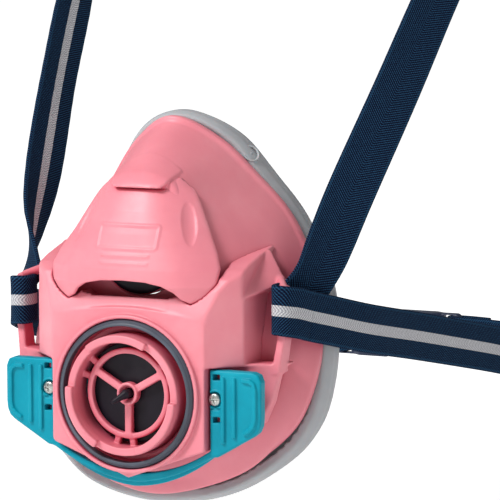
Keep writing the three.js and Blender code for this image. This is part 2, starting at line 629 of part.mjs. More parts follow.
// Crown cradle: a gently arched plate with a slot at each side for the head straps.
function crownCradle() {
  const sections = [-40, -30, -15, 0, 15, 30, 40].map((x) => {
    const z = 206.5 - 0.0026 * x * x;
    const half = 22 - 0.006 * x * x;
    return [[154 - half, z - 1.5], [154 + half, z - 1.5], [154 + half, z + 1.2],
      [154 - half, z + 1.2]].map(([y, height]) => new THREE.Vector3(x, y, height));
  });
  const plateBody = solid(loft(sections));
  const windows = [-10.5, 10.5].map((y) => block([-11, 11], [154 + y - 5, 154 + y + 5], [190, 220]));
  const slots = [[33, 36.3], [-36.3, -33]].map((x) => block(x, [144.5, 163.5], [190, 220]));
  return cut(plateBody, ...windows, ...slots);
}

// Nape buckle: a socket and a plug with a tongue, each with a slot for its strap. The spans
// are in X, Y and Z, Z about the middle of the strap.
const NAPE_Z = -11.4;
const BUCKLE = { y: [225.2, 232.8], half: 9.3, end: 26 };
const BUCKLE_SLOT = { x: [19, 22.6], half: 8.3 };

const aboutNape = (half) => [NAPE_Z - half, NAPE_Z + half];

function buckleSocket() {
  const body = block([-1.5, BUCKLE.end], BUCKLE.y, aboutNape(BUCKLE.half));
  const pocket = block([-2, 15], [227, 231], aboutNape(6.5));
  const slot = block(BUCKLE_SLOT.x, [220, 240], aboutNape(BUCKLE_SLOT.half));
  return cut(body, pocket, slot);
}

function bucklePlug() {
  const [near, far] = BUCKLE_SLOT.x;
  const body = block([-BUCKLE.end, -1.9], BUCKLE.y, aboutNape(BUCKLE.half));
  const tongue = block([-3, 13], [227.4, 230.6], aboutNape(5.5));
  const slot = block([-far, -near], [220, 240], aboutNape(BUCKLE_SLOT.half));
  return cut(joined(body, tongue), slot);
}

// ---------------------------------------------------------------- assembly

place('facepiece', geometryOf(facepiece()), silicone());
place('shell', geometryOf(shell()), pink());
place('port_housing', geometryOf(housing()), pink());
place('bayonet_collar', geometryOf(bayonetCollar()), pink());
place('port_gasket', geometryOf(gasket()), greyRubber());
place('inhalation_valve', geometryOf(inhalationValve()), blackRubber());
place('exhalation_seat', geometryOf(exhalationSeat()), pink());
place('exhalation_valve', geometryOf(exhalationValve()), blackRubber());
place('valve_hood', geometryOf(valveHood()), pink());
place('test_lever', geometryOf(testLever()), teal());
place('shutter', geometryOf(shutter()), teal());
place('crown_cradle', geometryOf(crownCradle()), navyPlastic());
place('buckle_socket', geometryOf(buckleSocket()), navyPlastic());
place('buckle_plug', geometryOf(bucklePlug()), navyPlastic());

for (const [hand, side] of [['right', 1], ['left', -1]]) {
  place(`lever_screw_${hand}`, geometryOf(leverScrew(side)), zinc());
  place(`return_spring_${hand}`, geometryOf(returnSpring(side)), springSteel());
  place(`head_strap_${hand}`, geometryOf(band(HEAD_STOPS[hand], { side })), navy());
  place(`strap_loop_${hand}`, geometryOf(band(LOOP_STOPS, { side, steps: 3 })), navy());
  place(`neck_strap_${hand}`, geometryOf(band(NECK_STOPS, { side })), navy());
  place(`strap_slider_${hand}`, geometryOf(strapSlider(side)), navyPlastic());
}

export default assembly;
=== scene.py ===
import json
import math
from functools import reduce

import bmesh
import bpy
import numpy as np
from mathutils import Matrix, Vector

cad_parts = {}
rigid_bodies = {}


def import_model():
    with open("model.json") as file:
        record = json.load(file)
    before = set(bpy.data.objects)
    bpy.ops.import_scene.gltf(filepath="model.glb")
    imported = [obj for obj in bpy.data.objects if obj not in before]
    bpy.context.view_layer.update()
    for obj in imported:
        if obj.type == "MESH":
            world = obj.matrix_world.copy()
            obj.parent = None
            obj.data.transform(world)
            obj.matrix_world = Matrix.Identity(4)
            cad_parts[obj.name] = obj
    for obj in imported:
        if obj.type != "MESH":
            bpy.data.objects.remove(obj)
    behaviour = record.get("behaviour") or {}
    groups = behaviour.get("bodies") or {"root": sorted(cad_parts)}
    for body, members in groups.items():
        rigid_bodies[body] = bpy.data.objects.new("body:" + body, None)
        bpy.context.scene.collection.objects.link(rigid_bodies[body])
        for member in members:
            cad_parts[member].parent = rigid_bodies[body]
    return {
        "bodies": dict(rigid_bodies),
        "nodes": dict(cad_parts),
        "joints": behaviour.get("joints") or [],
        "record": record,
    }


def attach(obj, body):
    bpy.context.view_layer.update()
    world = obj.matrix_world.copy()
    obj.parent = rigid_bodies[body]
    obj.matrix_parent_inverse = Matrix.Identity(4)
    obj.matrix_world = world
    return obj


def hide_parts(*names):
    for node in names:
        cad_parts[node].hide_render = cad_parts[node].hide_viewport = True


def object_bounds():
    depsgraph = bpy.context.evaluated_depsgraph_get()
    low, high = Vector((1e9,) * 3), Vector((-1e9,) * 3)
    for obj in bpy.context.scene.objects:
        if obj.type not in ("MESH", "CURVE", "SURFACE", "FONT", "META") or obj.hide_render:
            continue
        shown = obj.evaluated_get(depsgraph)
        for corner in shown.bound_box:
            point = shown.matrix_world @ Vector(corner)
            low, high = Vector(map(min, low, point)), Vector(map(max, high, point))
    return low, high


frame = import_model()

CAD_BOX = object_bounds()
BODY = "mask_body"
HANDS = (("right", 1), ("left", -1))

# Shapes are worked out in millimetres from the centre of the filter port on its gasket
# plane, -Y towards the viewer, and moved back by SEAL_PLANE when the mesh is made.
MM = 0.001
SEAL_PLANE = 46.0


def frame_point(point):
    """A place in port millimetres, as a place in the frame in metres."""
    x, y, z = point
    return Vector((x * MM, (y - SEAL_PLANE) * MM, z * MM))


# ---- camera

AZIMUTH, ELEVATION, ROLL = math.radians(25.05), math.radians(6.757), math.radians(-0.156)
LENS, SENSOR = 229.28, 36.0
DISTANCE = 1010.95                 # from the port to the camera along the view, mm
PORT_RIGHT, PORT_UP = -0.25216, -0.28964   # place of the port in the view, half = 0.5


def add_camera():
    back = Vector((math.sin(AZIMUTH) * math.cos(ELEVATION),
                   -math.cos(AZIMUTH) * math.cos(ELEVATION), math.sin(ELEVATION)))
    level = Vector((math.cos(AZIMUTH), math.sin(AZIMUTH), 0.0))
    above = back.cross(level)
    right = level * math.cos(ROLL) + above * math.sin(ROLL)
    up = above * math.cos(ROLL) - level * math.sin(ROLL)
    view_width = DISTANCE * SENSOR / LENS
    eye = back * DISTANCE - right * PORT_RIGHT * view_width - up * PORT_UP * view_width
    data = bpy.data.cameras.new("camera")
    data.lens, data.sensor_width = LENS, SENSOR
    data.clip_start, data.clip_end = 0.05, 20.0
    camera = bpy.data.objects.new("camera", data)
    bpy.context.scene.collection.objects.link(camera)
    turn = Matrix((right, up, back)).transposed().to_4x4()
    camera.matrix_world = Matrix.Translation(frame_point(eye)) @ turn
    bpy.context.scene.camera = camera


add_camera()

# ---- distance fields
#
# A moulded piece is a distance field, negative inside. Fields take arrays of x, y and z
# in millimetres that broadcast together.


def soft_min(a, b, k):
    h = np.clip(0.5 + 0.5 * (b - a) / k, 0.0, 1.0)
    return b + (a - b) * h - k * h * (1.0 - h)


def soft_max(a, b, k):
    return -soft_min(-a, -b, k)


def unite(k, *fields):
    return reduce(lambda a, b: soft_min(a, b, k), fields)


def common(k, *fields):
    return reduce(lambda a, b: soft_max(a, b, k), fields)


def slab(v, low, high):
    return np.maximum(low - v, v - high)


def box_field(x, y, z, low, high, radius=0.0):
    centre = [(a + b) / 2 for a, b in zip(low, high)]
    half = [(b - a) / 2 - radius for a, b in zip(low, high)]
    q = [np.abs(v - c) - h for v, c, h in zip((x, y, z), centre, half)]
    outside = np.sqrt(sum(np.maximum(v, 0.0) ** 2 for v in q))
    inside = np.minimum(np.maximum(np.maximum(q[0], q[1]), q[2]), 0.0)
    return outside + inside - radius


def nearest_squared(u, v, path):
    """Squared distance to a path drawn in one plane."""
    best = np.full(u.shape, 1e9)
    for (ax, ay), (bx, by) in zip(path, path[1:]):
        ex, ey = bx - ax, by - ay
        t = np.clip(((u - ax) * ex + (v - ay) * ey) / (ex * ex + ey * ey), 0.0, 1.0)
        best = np.minimum(best, (u - ax - t * ex) ** 2 + (v - ay - t * ey) ** 2)
    return best


def polygon_field(u, v, corners):
    """Signed distance to a closed polygon in one plane."""
    u, v = np.broadcast_arrays(u, v)
    path = [corners[-1]] + corners
    inside = np.zeros(u.shape, bool)
    for (ax, ay), (bx, by) in zip(path, path[1:]):
        if ay != by:
            inside ^= ((ay > v) != (by > v)) & (u < (bx - ax) * (v - ay) / (by - ay) + ax)
    return np.where(inside, -1.0, 1.0) * np.sqrt(nearest_squared(u, v, path))


def stroke_field(u, v, path, radius):
    """Distance to an open path drawn in one plane with a round pen."""
    u, v = np.broadcast_arrays(u, v)
    return np.sqrt(nearest_squared(u, v, path)) - radius


def capsule(x, y, z, start, end, r_start, r_end):
    """Distance to a round rod whose two ends have their own radii."""
    a, b = np.array(start, float), np.array(end, float)
    d = b - a
    t = ((x - a[0]) * d[0] + (y - a[1]) * d[1] + (z - a[2]) * d[2]) / (d @ d)
    t = np.clip(t, 0.0, 1.0)
    gap = np.sqrt((x - a[0] - t * d[0]) ** 2 + (y - a[1] - t * d[1]) ** 2
                  + (z - a[2] - t * d[2]) ** 2)
    return gap - r_start - (r_end - r_start) * t


def plane_field(x, y, a, b):
    """Distance in plan from the line a to b, positive on the left of a to b."""
    ex, ey = b[0] - a[0], b[1] - a[1]
    return (ex * (y - a[1]) - ey * (x - a[0])) / math.hypot(ex, ey)


# ---- meshing


def surface_net(field, low, high, step):
    """Quads over the zero surface of a field, with points settled onto it."""
    axes = [np.arange(a, b + step, step) for a, b in zip(low, high)]
    grid = [axes[0][:, None, None], axes[1][None, :, None], axes[2][None, None, :]]
    f = np.broadcast_to(field(*grid), [len(a) for a in axes]).astype(np.float32)
    neg = f < 0
    corners = [(i, j, k) for i in (0, 1) for j in (0, 1) for k in (0, 1)]
    nx, ny, nz = (n - 1 for n in f.shape)

    def corner(values, c):
        return values[c[0]:c[0] + nx, c[1]:c[1] + ny, c[2]:c[2] + nz]

    count = sum(corner(neg, c).astype(np.int8) for c in corners)
    active = (count > 0) & (count < 8)
    cell = np.argwhere(active)
    total = np.zeros((len(cell), 3))
    hits = np.zeros(len(cell))
    for a in corners:
        for d in range(3):
            if a[d]:
                continue
            b = tuple(1 if n == d else a[n] for n in range(3))
            fa, fb = corner(f, a)[active], corner(f, b)[active]
            crossing = (fa < 0) != (fb < 0)
            t = np.where(crossing, fa / np.where(crossing, fa - fb, 1.0), 0.0)
            place = np.tile(np.array(a, float), (len(cell), 1))
            place[:, d] += t
            total += place * crossing[:, None]
            hits += crossing
    points = np.array(low) + step * (cell + total / hits[:, None])
    points = settle(field, points, step)
    number = np.full(active.shape, -1, np.int64)
    number[active] = np.arange(len(cell))
    quads = []
    for d in range(3):
        p, q = [n for n in range(3) if n != d]
        first, second = [slice(1, -1)] * 3, [slice(1, -1)] * 3
        first[d], second[d] = slice(0, -1), slice(1, None)
        low_side, high_side = neg[tuple(first)], neg[tuple(second)]
        offset = np.ones(3, int)
        offset[d] = 0
        for leaving in (True, False):
            edge = np.argwhere((low_side != high_side) & (low_side == leaving)) + offset
            ring = []
            for dp, dq in ((0, 0), (-1, 0), (-1, -1), (0, -1)):
                at = edge.copy()
                at[:, p] += dp
                at[:, q] += dq
                ring.append(number[tuple(at.T)])
            ring = np.stack(ring, 1)
            quads.append(ring if leaving == (d != 1) else ring[:, ::-1])
    return points, np.concatenate(quads)


def gradient(field, points, h=0.05):
    out = np.zeros_like(points)
    for d in range(3):
        shift = np.zeros(3)
        shift[d] = h
        ahead, behind = points + shift, points - shift
        out[:, d] = (field(*ahead.T) - field(*behind.T)) / (2 * h)
    return out


def settle(field, points, step):
    """Moves points along the field's gradient onto its zero surface."""
    start = points.copy()
    for _ in range(3):
        slope = gradient(field, points)
        value = np.asarray(field(*points.T))
        size = np.maximum((slope ** 2).sum(1), 0.05)
        points = points - slope * (value / size)[:, None]
        move = points - start
        length = np.linalg.norm(move, axis=1)
        keep = np.minimum(1.0, 0.55 * step / np.maximum(length, 1e-9))
        points = start + move * keep[:, None]
    return points


def make_object(name, points, faces):
    mesh = bpy.data.meshes.new(name)
    placed = (np.asarray(points, float) - [0.0, SEAL_PLANE, 0.0]) * MM
    faces = np.asarray(faces)
    mesh.vertices.add(len(placed))
    mesh.vertices.foreach_set("co", placed.astype(np.float32).ravel())
    mesh.loops.add(faces.size)
    mesh.loops.foreach_set("vertex_index", faces.astype(np.int32).ravel())
    mesh.polygons.add(len(faces))
    mesh.polygons.foreach_set("loop_start", np.arange(0, faces.size, faces.shape[1], dtype=np.int32))
    mesh.update(calc_edges=True)
    mesh.validate()
    mesh.shade_smooth()
    piece = bpy.data.objects.new(name, mesh)
    bpy.context.scene.collection.objects.link(piece)
    return piece


def moulded(name, field, low, high, step, slot, node, body=BODY):
    """Meshes a field over a box, as the visual piece of one CAD node."""
    points, faces = surface_net(field, low, high, step)
    finish_piece(make_object(name, points, faces), slot, [node], body)


def turned(name, profile, sides, centre=(0.0, 0.0, 0.0)):
    """A closed ring or disc about an axis along Y, from [radius, y] points."""
    profile = np.array(profile, float)
    n = len(profile)
    angle = np.linspace(0, 2 * np.pi, sides, endpoint=False)
    r, y = profile[:, 0], profile[:, 1]
    pts = np.stack([np.outer(np.cos(angle), r), np.tile(y, (sides, 1)),
                    np.outer(np.sin(angle), r)], 2).reshape(-1, 3) + np.array(centre)
    a = np.arange(sides)[:, None] * n
    b = ((np.arange(sides) + 1) % sides)[:, None] * n
    k, m = np.arange(n)[None], (np.arange(n)[None] + 1) % n
    quads = np.stack([a + k, b + k, b + m, a + m], 2).reshape(-1, 4)
    return make_object(name, pts, quads)


def rounded_profile(corners, radius):
    """A closed [radius, y] profile with its corners turned into arcs."""
    out = []
    pts = [np.array(c, float) for c in corners]
    for k, c in enumerate(pts):
        before, after = pts[k - 1], pts[(k + 1) % len(pts)]
        u, v = before - c, after - c
        reach = min(radius, 0.45 * np.linalg.norm(u), 0.45 * np.linalg.norm(v))
        u, v = u / np.linalg.norm(u), v / np.linalg.norm(v)
        for s in np.linspace(0, 1, 5):
            p, q = c + u * reach * (1 - s), c + v * reach * s
            out.append(tuple(p * (1 - s) + q * s))
    return out


# ---- mask outlines

# Right half of the mask's outline from nose to chin, at several depths before the sweep.
OUTLINES = [
    (8.0, [(0, 63.2), (9, 62), (13.5, 57), (18.5, 48), (24, 37), (26, 25), (25.5, 8), (23, -6),
           (14, -16), (0, -20)]),
    (12.5, [(0, 69.6), (9.8, 66.8), (14.5, 60.5), (20.5, 50.5), (28, 37), (30, 25), (29, 8),
            (26.5, -8), (16, -19), (0, -24)]),
    (18.0, [(0, 75.4), (10.5, 70.7), (17.5, 61.1), (25.4, 50.6), (32.9, 36.7), (34.3, 23.8),
            (34.3, 8), (31.6, -9), (20.7, -21.3), (0, -27.2)]),
    (24.0, [(0, 79.8), (11.6, 74), (21, 61.7), (30.8, 49.6), (37.6, 36.3), (39.6, 23.6),
            (39.8, 8), (36.8, -10.8), (24.8, -24.5), (0, -30.2)]),
    (30.0, [(0, 83.3), (13.5, 76.3), (24.6, 62.8), (35.6, 49.6), (42.8, 36), (44.8, 23.4),
            (45.6, 6.9), (42.6, -12.6), (29, -27.5), (0, -33.2)]),
    (36.5, [(0, 86.5), (15.1, 78.6), (27.5, 64.8), (38.6, 50.6), (47.4, 34.7), (51, 19.3),
            (51.5, 4.9), (46.7, -11), (34.9, -22.9), (22, -30.8), (0, -35.6)]),
    (46.0, [(0, 88), (16.8, 81), (29.7, 63.4), (39.7, 49.6), (49, 32.7), (53.1, 17.4), (53.8, 0),
            (50.7, -13.3), (41.8, -24.6), (24.2, -35.4), (0, -39.4)]),
]
# How far the rim lies behind its nominal depth at each height: the cheeks sit furthest
# back, the nose and the chin come forward.
SWEEP = np.array([(-40, -14.8), (-34, -13.2), (-28, -9.6), (-23, -6.8), (-15, -4.4), (-5, -2),
                  (45, 13), (52, 14.7), (57, 15), (62, 13.8), (67, 11.5), (72, 9.3), (76, 7.9),
                  (80, 5.9), (84, 3), (88, 0)], float)
SWEEP_FROM, RIM_BACK = 12.5, 36.5
MIDDLE_Z = 22.0
ANGLES = np.linspace(-np.pi / 2, np.pi / 2, 241)
DEPTHS = np.linspace(8.0, 54.0, 185)


def smooth_curve(points, per_span=24):
    """Catmull-Rom curve through points, as a dense array."""
    p = np.array(points, float)
    p = np.vstack([2 * p[0] - p[1], p, 2 * p[-1] - p[-2]])
    t = np.linspace(0, 1, per_span, endpoint=False)[:, None]
    out = []
    for k in range(len(p) - 3):
        a, b, c, d = p[k:k + 4]
        out.append(0.5 * (2 * b + (c - a) * t + (2 * a - 5 * b + 4 * c - d) * t ** 2
                          + (3 * b - a - 3 * c + d) * t ** 3))
    return np.vstack(out + [p[-2:-1]])


SWEEP_Z = np.linspace(-45.0, 94.0, 279)
SWEEP_Y = np.interp(SWEEP_Z, SWEEP[:, 0], SWEEP[:, 1])
for _ in range(30):
    SWEEP_Y[1:-1] = (SWEEP_Y[:-2] + 2 * SWEEP_Y[1:-1] + SWEEP_Y[2:]) / 4


def sweep(z):
    return np.interp(z, SWEEP_Z, SWEEP_Y)


def unswept(y, z):
    """Depth of a point before the sweep."""
    back = sweep(z)
    stretched = SWEEP_FROM + (y - SWEEP_FROM) / (1.0 + back / (RIM_BACK - SWEEP_FROM))
    return np.where(y < SWEEP_FROM, y, np.where(y - back > RIM_BACK, y - back, stretched))


def outline_radius(half):
    """Distance of an outline from the mask's middle line at each of ANGLES."""
    mirrored_start = [(-half[1][0], half[1][1])]
    mirrored_end = [(-half[-2][0], half[-2][1])]
    curve = smooth_curve(mirrored_start + half + mirrored_end)
    angle = np.arctan2(curve[:, 1] - MIDDLE_Z, curve[:, 0])
    radius = np.hypot(curve[:, 0], curve[:, 1] - MIDDLE_Z)
    keep = curve[:, 0] > -1e-6
    order = np.argsort(angle[keep])
    return np.interp(ANGLES, angle[keep][order], radius[keep][order])


def outline_table():
    depth = np.array([y for y, _ in OUTLINES])
    rows = np.array([outline_radius(half) for _, half in OUTLINES])
    slope = np.gradient(rows, depth, axis=0)
    slope[-1] = 0.0
    table = np.zeros((len(DEPTHS), len(ANGLES)))
    for n, y in enumerate(DEPTHS):
        if y >= depth[-1]:
            table[n] = rows[-1]
            continue
        k = int(np.clip(np.searchsorted(depth, y, "right") - 1, 0, len(depth) - 2))
        h = depth[k + 1] - depth[k]
        t = (y - depth[k]) / h
        table[n] = ((2 * t ** 3 - 3 * t ** 2 + 1) * rows[k] + (3 * t ** 2 - 2 * t ** 3) * rows[k + 1]
                    + h * (t ** 3 - 2 * t ** 2 + t) * slope[k] + h * (t ** 3 - t ** 2) * slope[k + 1])
    for _ in range(6):
        padded = np.pad(table, ((0, 0), (1, 1)), "reflect")
        table = (padded[:, :-2] + 2 * padded[:, 1:-1] + padded[:, 2:]) / 4
    return table


RADIUS = outline_table()
STEEP = np.sqrt(1 + np.gradient(RADIUS, DEPTHS, axis=0) ** 2
                + (np.gradient(RADIUS, ANGLES, axis=1) / RADIUS) ** 2)


def look_up(table, angle, depth):
    u = np.clip((angle - ANGLES[0]) / (ANGLES[1] - ANGLES[0]), 0, len(ANGLES) - 1.001)
    v = np.clip((depth - DEPTHS[0]) / (DEPTHS[1] - DEPTHS[0]), 0, len(DEPTHS) - 1.001)
    i, j = u.astype(int), v.astype(int)
    s, t = u - i, v - j
    return ((table[j, i] * (1 - s) + table[j, i + 1] * s) * (1 - t)
            + (table[j + 1, i] * (1 - s) + table[j + 1, i + 1] * s) * t)


def beyond_outline(x, z, depth):
    """How far a point is outside the outline of a given depth before the sweep."""
    x, z, depth = np.broadcast_arrays(np.abs(x), z, depth)
    angle = np.arctan2(z - MIDDLE_Z, x)
    return np.hypot(x, z - MIDDLE_Z) - look_up(RADIUS, angle, depth)


def dome_field(x, y, z):
    x, y, z = np.broadcast_arrays(np.abs(x), y, z)
    angle, depth = np.arctan2(z - MIDDLE_Z, x), unswept(y, z)
    reach = np.hypot(x, z - MIDDLE_Z)
    return (reach - look_up(RADIUS, angle, depth)) / look_up(STEEP, angle, depth)


# ---- materials


class Look:
    """Small helper to build a procedural material."""

    def __init__(self, name, **settings):
        self.material = bpy.data.materials.new(name)
        self.material.use_nodes = True
        self.tree = self.material.node_tree
        self.shader = self.tree.nodes["Principled BSDF"]
        for key, value in settings.items():
            self.shader.inputs[key.replace("_", " ")].default_value = value

    def node(self, kind, **settings):
        node = self.tree.nodes.new(kind)
        for key, value in settings.items():
            if hasattr(node, key):
                setattr(node, key, value)
            else:
                node.inputs[key.replace("_", " ")].default_value = value
        return node

    def link(self, start, end):
        self.tree.links.new(start, end)

    def object_place(self):
        return self.node("ShaderNodeTexCoord").outputs["Object"]

    def noise(self, scale, detail=3.0, rough=0.5):
        node = self.node("ShaderNodeTexNoise", Scale=scale, Detail=detail, Roughness=rough)
        self.link(self.object_place(), node.inputs["Vector"])
        return node.outputs["Fac"]

    def ramp(self, source, stops):
        node = self.node("ShaderNodeValToRGB")
        while len(node.color_ramp.elements) < len(stops):
            node.color_ramp.elements.new(0.5)
        for element, (at, colour) in zip(node.color_ramp.elements, stops):
            element.position = at
            element.color = (*colour, 1.0)
        self.link(source, node.inputs["Fac"])
        return node.outputs["Color"]

    def math(self, operation, a, b=0.0, c=0.0):
        node = self.node("ShaderNodeMath", operation=operation)
        for socket, value in zip(node.inputs, (a, b, c)):
            if isinstance(value, (int, float)):
                socket.default_value = value
            else:
                self.link(value, socket)
        return node.outputs[0]

    def mix(self, factor, a, b):
        node = self.node("ShaderNodeMix", data_type="RGBA")
        for socket, value in ((node.inputs[0], factor), (node.inputs[6], a), (node.inputs[7], b)):
            if isinstance(value, (int, float)):
                socket.default_value = value
            elif isinstance(value, tuple):
                socket.default_value = (*value, 1.0)
            else:
                self.link(value, socket)
        return node.outputs[2]

    def bump(self, height, strength, distance, normal=None):
        node = self.node("ShaderNodeBump", Strength=strength, Distance=distance)
        self.link(height, node.inputs["Height"])
        if normal is not None:
            self.link(normal, node.inputs["Normal"])
        self.link(node.outputs["Normal"], self.shader.inputs["Normal"])
        return node.outputs["Normal"]

    def edge(self):
        """Painted highlight: brighter along convex outer edges, from the mesh's curvature."""
        node = self.node("ShaderNodeNewGeometry")
        span = self.node("ShaderNodeMapRange")
        span.inputs["From Min"].default_value = 0.52
        span.inputs["From Max"].default_value = 0.62
        self.link(node.outputs["Pointiness"], span.inputs["Value"])
        return span.outputs[0]


def plastic(name, base, lighter, darker, roughness, subsurface=0.0, grain=0.06, shine=0.4,
            painted_shade=None):
    """Moulded plastic or rubber, with a painted highlight on its convex edges. A painted shade
    colour, if given, is mixed into the hollows by ambient occlusion."""
    look = Look(name, Roughness=roughness, Subsurface_Weight=subsurface,
                Specular_IOR_Level=shine)
    if subsurface:
        look.shader.inputs["Subsurface Radius"].default_value = (0.004, 0.0015, 0.001)
        look.shader.inputs["Subsurface Scale"].default_value = 1.0
    cloud = look.noise(38.0, 4.0, 0.6)
    body = look.ramp(cloud, [(0.3, darker), (0.5, base), (0.72, lighter)])
    # painted highlight: the lighter colour mixed onto convex edges
    highlit_and_shaded = look.mix(look.math("MULTIPLY", look.edge(), 0.35), body, lighter)
    if painted_shade:
        # painted shade: ambient occlusion mixes the shade colour into hollows, creases and gaps between
        # parts
        hollow = look.node("ShaderNodeAmbientOcclusion", samples=12)
        hollow.inputs["Distance"].default_value = 0.014
        shade_amount = look.math("MULTIPLY_ADD", hollow.outputs["AO"], -1.15, 1.08)
        highlit_and_shaded = look.mix(look.math("MINIMUM", shade_amount, 1.0), highlit_and_shaded, painted_shade)
    look.link(highlit_and_shaded, look.shader.inputs["Base Color"])
    smear = look.noise(160.0, 3.0, 0.6)
    rough = look.math("MULTIPLY_ADD", smear, 0.16, roughness - 0.08)
    look.link(rough, look.shader.inputs["Roughness"])
    fine = look.bump(look.noise(5200.0, 2.0, 0.5), grain, 0.00006)
    look.bump(look.noise(420.0, 2.0, 0.4), 0.10, 0.00012, fine)
    return look.material


# Base, lighter (also the painted highlight on convex edges) and darker colour, roughness, and whatever
# differs from the usual plastic.
PLASTICS = {
    # the last colour of the pink plastic is a painted shade for its hollows
    "pink_plastic": ((0.85, 0.262, 0.315), (0.88, 0.31, 0.36), (0.81, 0.235, 0.29), 0.42,
                     {"subsurface": 0.08, "painted_shade": (0.60, 0.08, 0.14)}),
    "teal_plastic": ((0.002, 0.31, 0.42), (0.010, 0.38, 0.49), (0.002, 0.26, 0.355), 0.42,
                     {"subsurface": 0.02, "shine": 0.15}),
    "navy_plastic": ((0.012, 0.022, 0.058), (0.04, 0.06, 0.12), (0.008, 0.015, 0.04), 0.4, {}),
    "silicone": ((0.43, 0.44, 0.46), (0.50, 0.51, 0.53), (0.38, 0.39, 0.41), 0.5,
                 {"subsurface": 0.2, "grain": 0.12, "shine": 0.3}),
    "grey_rubber": ((0.085, 0.10, 0.13), (0.13, 0.15, 0.19), (0.065, 0.078, 0.10), 0.42,
                    {"grain": 0.15, "shine": 0.3}),
    "black_rubber": ((0.012, 0.009, 0.016), (0.03, 0.028, 0.035), (0.008, 0.006, 0.011), 0.45,
                     {"grain": 0.15, "shine": 0.2}),
}


def metal(name, colour, roughness):
    look = Look(name, Metallic=1.0, Roughness=roughness)
    tint = look.ramp(look.noise(900.0, 4.0), [(0.3, tuple(c * 0.8 for c in colour)), (0.7, colour)])
    look.link(tint, look.shader.inputs["Base Color"])
    rough = look.math("MULTIPLY_ADD", look.noise(2500.0), 0.25, roughness - 0.1)
    look.link(rough, look.shader.inputs["Roughness"])
    look.bump(look.noise(3500.0, 2.0), 0.15, 0.00003)
    return look.material


STRIPE_HALF = 1.75      # half width of the white stripe, mm
SELVEDGE = 7.3          # middle of the lighter line near the edge
DASH_WIDE, DASH_LONG = 0.6, 0.95
FACE_SHIFT = 40.0       # added to the first UV on the striped face
NAVY, NAVY_LIGHT, NAVY_DARK = (0.005, 0.009, 0.030), (0.022, 0.085, 0.17), (0.002, 0.002, 0.010)
WHITE, WHITE_LIGHT, WHITE_SHADE = (0.56, 0.56, 0.58), (0.75, 0.75, 0.77), (0.20, 0.20, 0.24)


def webbing():
    """Elastic webbing: twill ribs that lean both ways from its middle, with a fine lighter
    line near each edge and a white stripe on one face.

    The first UV axis runs across in millimetres, plus FACE_SHIFT on the striped face, and
    the second runs along the band in millimetres."""
    look = Look("navy_webbing", Roughness=0.9, Specular_IOR_Level=0.06)
    look.shader.inputs["Sheen Weight"].default_value = 0.03
    look.shader.inputs["Sheen Roughness"].default_value = 0.45
    look.shader.inputs["Sheen Tint"].default_value = (0.35, 0.5, 0.8, 1.0)
    split = look.node("ShaderNodeSeparateXYZ")
    look.link(look.node("ShaderNodeUVMap", uv_map="weave").outputs["UV"], split.inputs[0])
    raw, along = split.outputs[0], split.outputs[1]
    striped_face = look.math("GREATER_THAN", raw, FACE_SHIFT / 2)
    across = look.math("SUBTRACT", raw, look.math("MULTIPLY", striped_face, FACE_SHIFT))
    distance = look.math("ABSOLUTE", across)
    # twill dashes, staggered column by column
    column = look.math("FLOOR", look.math("DIVIDE", across, DASH_WIDE))
    odd = look.math("MODULO", look.math("ABSOLUTE", column), 2.0)
    stagger = look.math("MULTIPLY", odd, DASH_LONG / 2)
    phase = look.math("ADD", along, look.math("ADD", stagger, look.math("MULTIPLY", distance, 0.8)))
    rib = look.math("SINE", look.math("MULTIPLY", phase, 2 * math.pi / DASH_LONG))
    cord = look.math("SINE", look.math("MULTIPLY", across, math.pi / DASH_WIDE))
    weave = look.math("MULTIPLY_ADD", look.math("MULTIPLY", rib, cord), 0.5, 0.5)
    fuzz = look.noise(2600.0, 3.0, 0.6)
    thread = look.math("MULTIPLY_ADD", fuzz, 0.5, look.math("MULTIPLY", weave, 0.75))
    navy = look.ramp(thread, [(0.38, NAVY_DARK), (0.62, NAVY), (0.95, NAVY_LIGHT)])
    white = look.ramp(thread, [(0.25, WHITE_SHADE), (0.7, WHITE), (0.95, WHITE_LIGHT)])
    in_stripe = look.math("MULTIPLY", look.math("LESS_THAN", distance, STRIPE_HALF), striped_face)
    body = look.mix(in_stripe, navy, white)
    selvedge = look.math("COMPARE", distance, SELVEDGE, 0.2)
    body = look.mix(look.math("MULTIPLY", selvedge, 0.35), body, NAVY_LIGHT)
    look.link(body, look.shader.inputs["Base Color"])
    height = look.math("MULTIPLY_ADD", fuzz, 0.25, weave)
    look.bump(height, 0.8, 0.00022)
    return look.material


SLOTS = {name: plastic(name, *looks, **extra) for name, (*looks, extra) in PLASTICS.items()}
SLOTS["zinc_steel"] = metal("zinc_steel", (0.58, 0.60, 0.57), 0.34)
SLOTS["spring_steel"] = metal("spring_steel", (0.42, 0.43, 0.44), 0.25)
SLOTS["navy_webbing"] = webbing()


def finish_piece(piece, slot, nodes, body=BODY):
    piece.data.materials.clear()
    piece.data.materials.append(SLOTS[slot])
    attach(piece, body)
    if nodes:
        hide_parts(*nodes)


# ---- moulded shell

SHELL_FRONT = 12.5
SHELL_WALL, FRONT_WALL = 2.2, 2.4
PORT_HOLE = 12.5
VALVE_OUT_Z, VALVE_HOLE = 44.5, 14.2
TAB = [(0, 65.2), (8.2, 65.2), (9.4, 66.1), (12.2, 71.5), (13.6, 76), (0, 80)]


def tab_field(x, y, z):
    """Tongue of the dome that overlaps the top of the hood."""
    proud = 0.9 * np.clip((72.5 - z) / 6.0, 0.0, 1.0)
    plan = polygon_field(np.abs(x), z, TAB)
    return common(0.5, dome_field(x, y, z) - proud, plan, y - 20.0, 8.4 - y)


def rim_field(x, y, z):
    """Band round the back edge that flares out from the dome."""
    depth = y - sweep(z)
    out = beyond_outline(x, z, RIM_BACK)
    slope = (29.4 - depth + 0.82 * (out + 5.2)) / 1.29
    return common(0.7, out, depth - RIM_BACK, slope, -out - 9.0)


def around_holes(x, z):
    """What is left outside the port's hole and the exhalation valve's hole."""
    return PORT_HOLE - np.hypot(x, z), VALVE_HOLE - np.hypot(x, z - VALVE_OUT_Z)


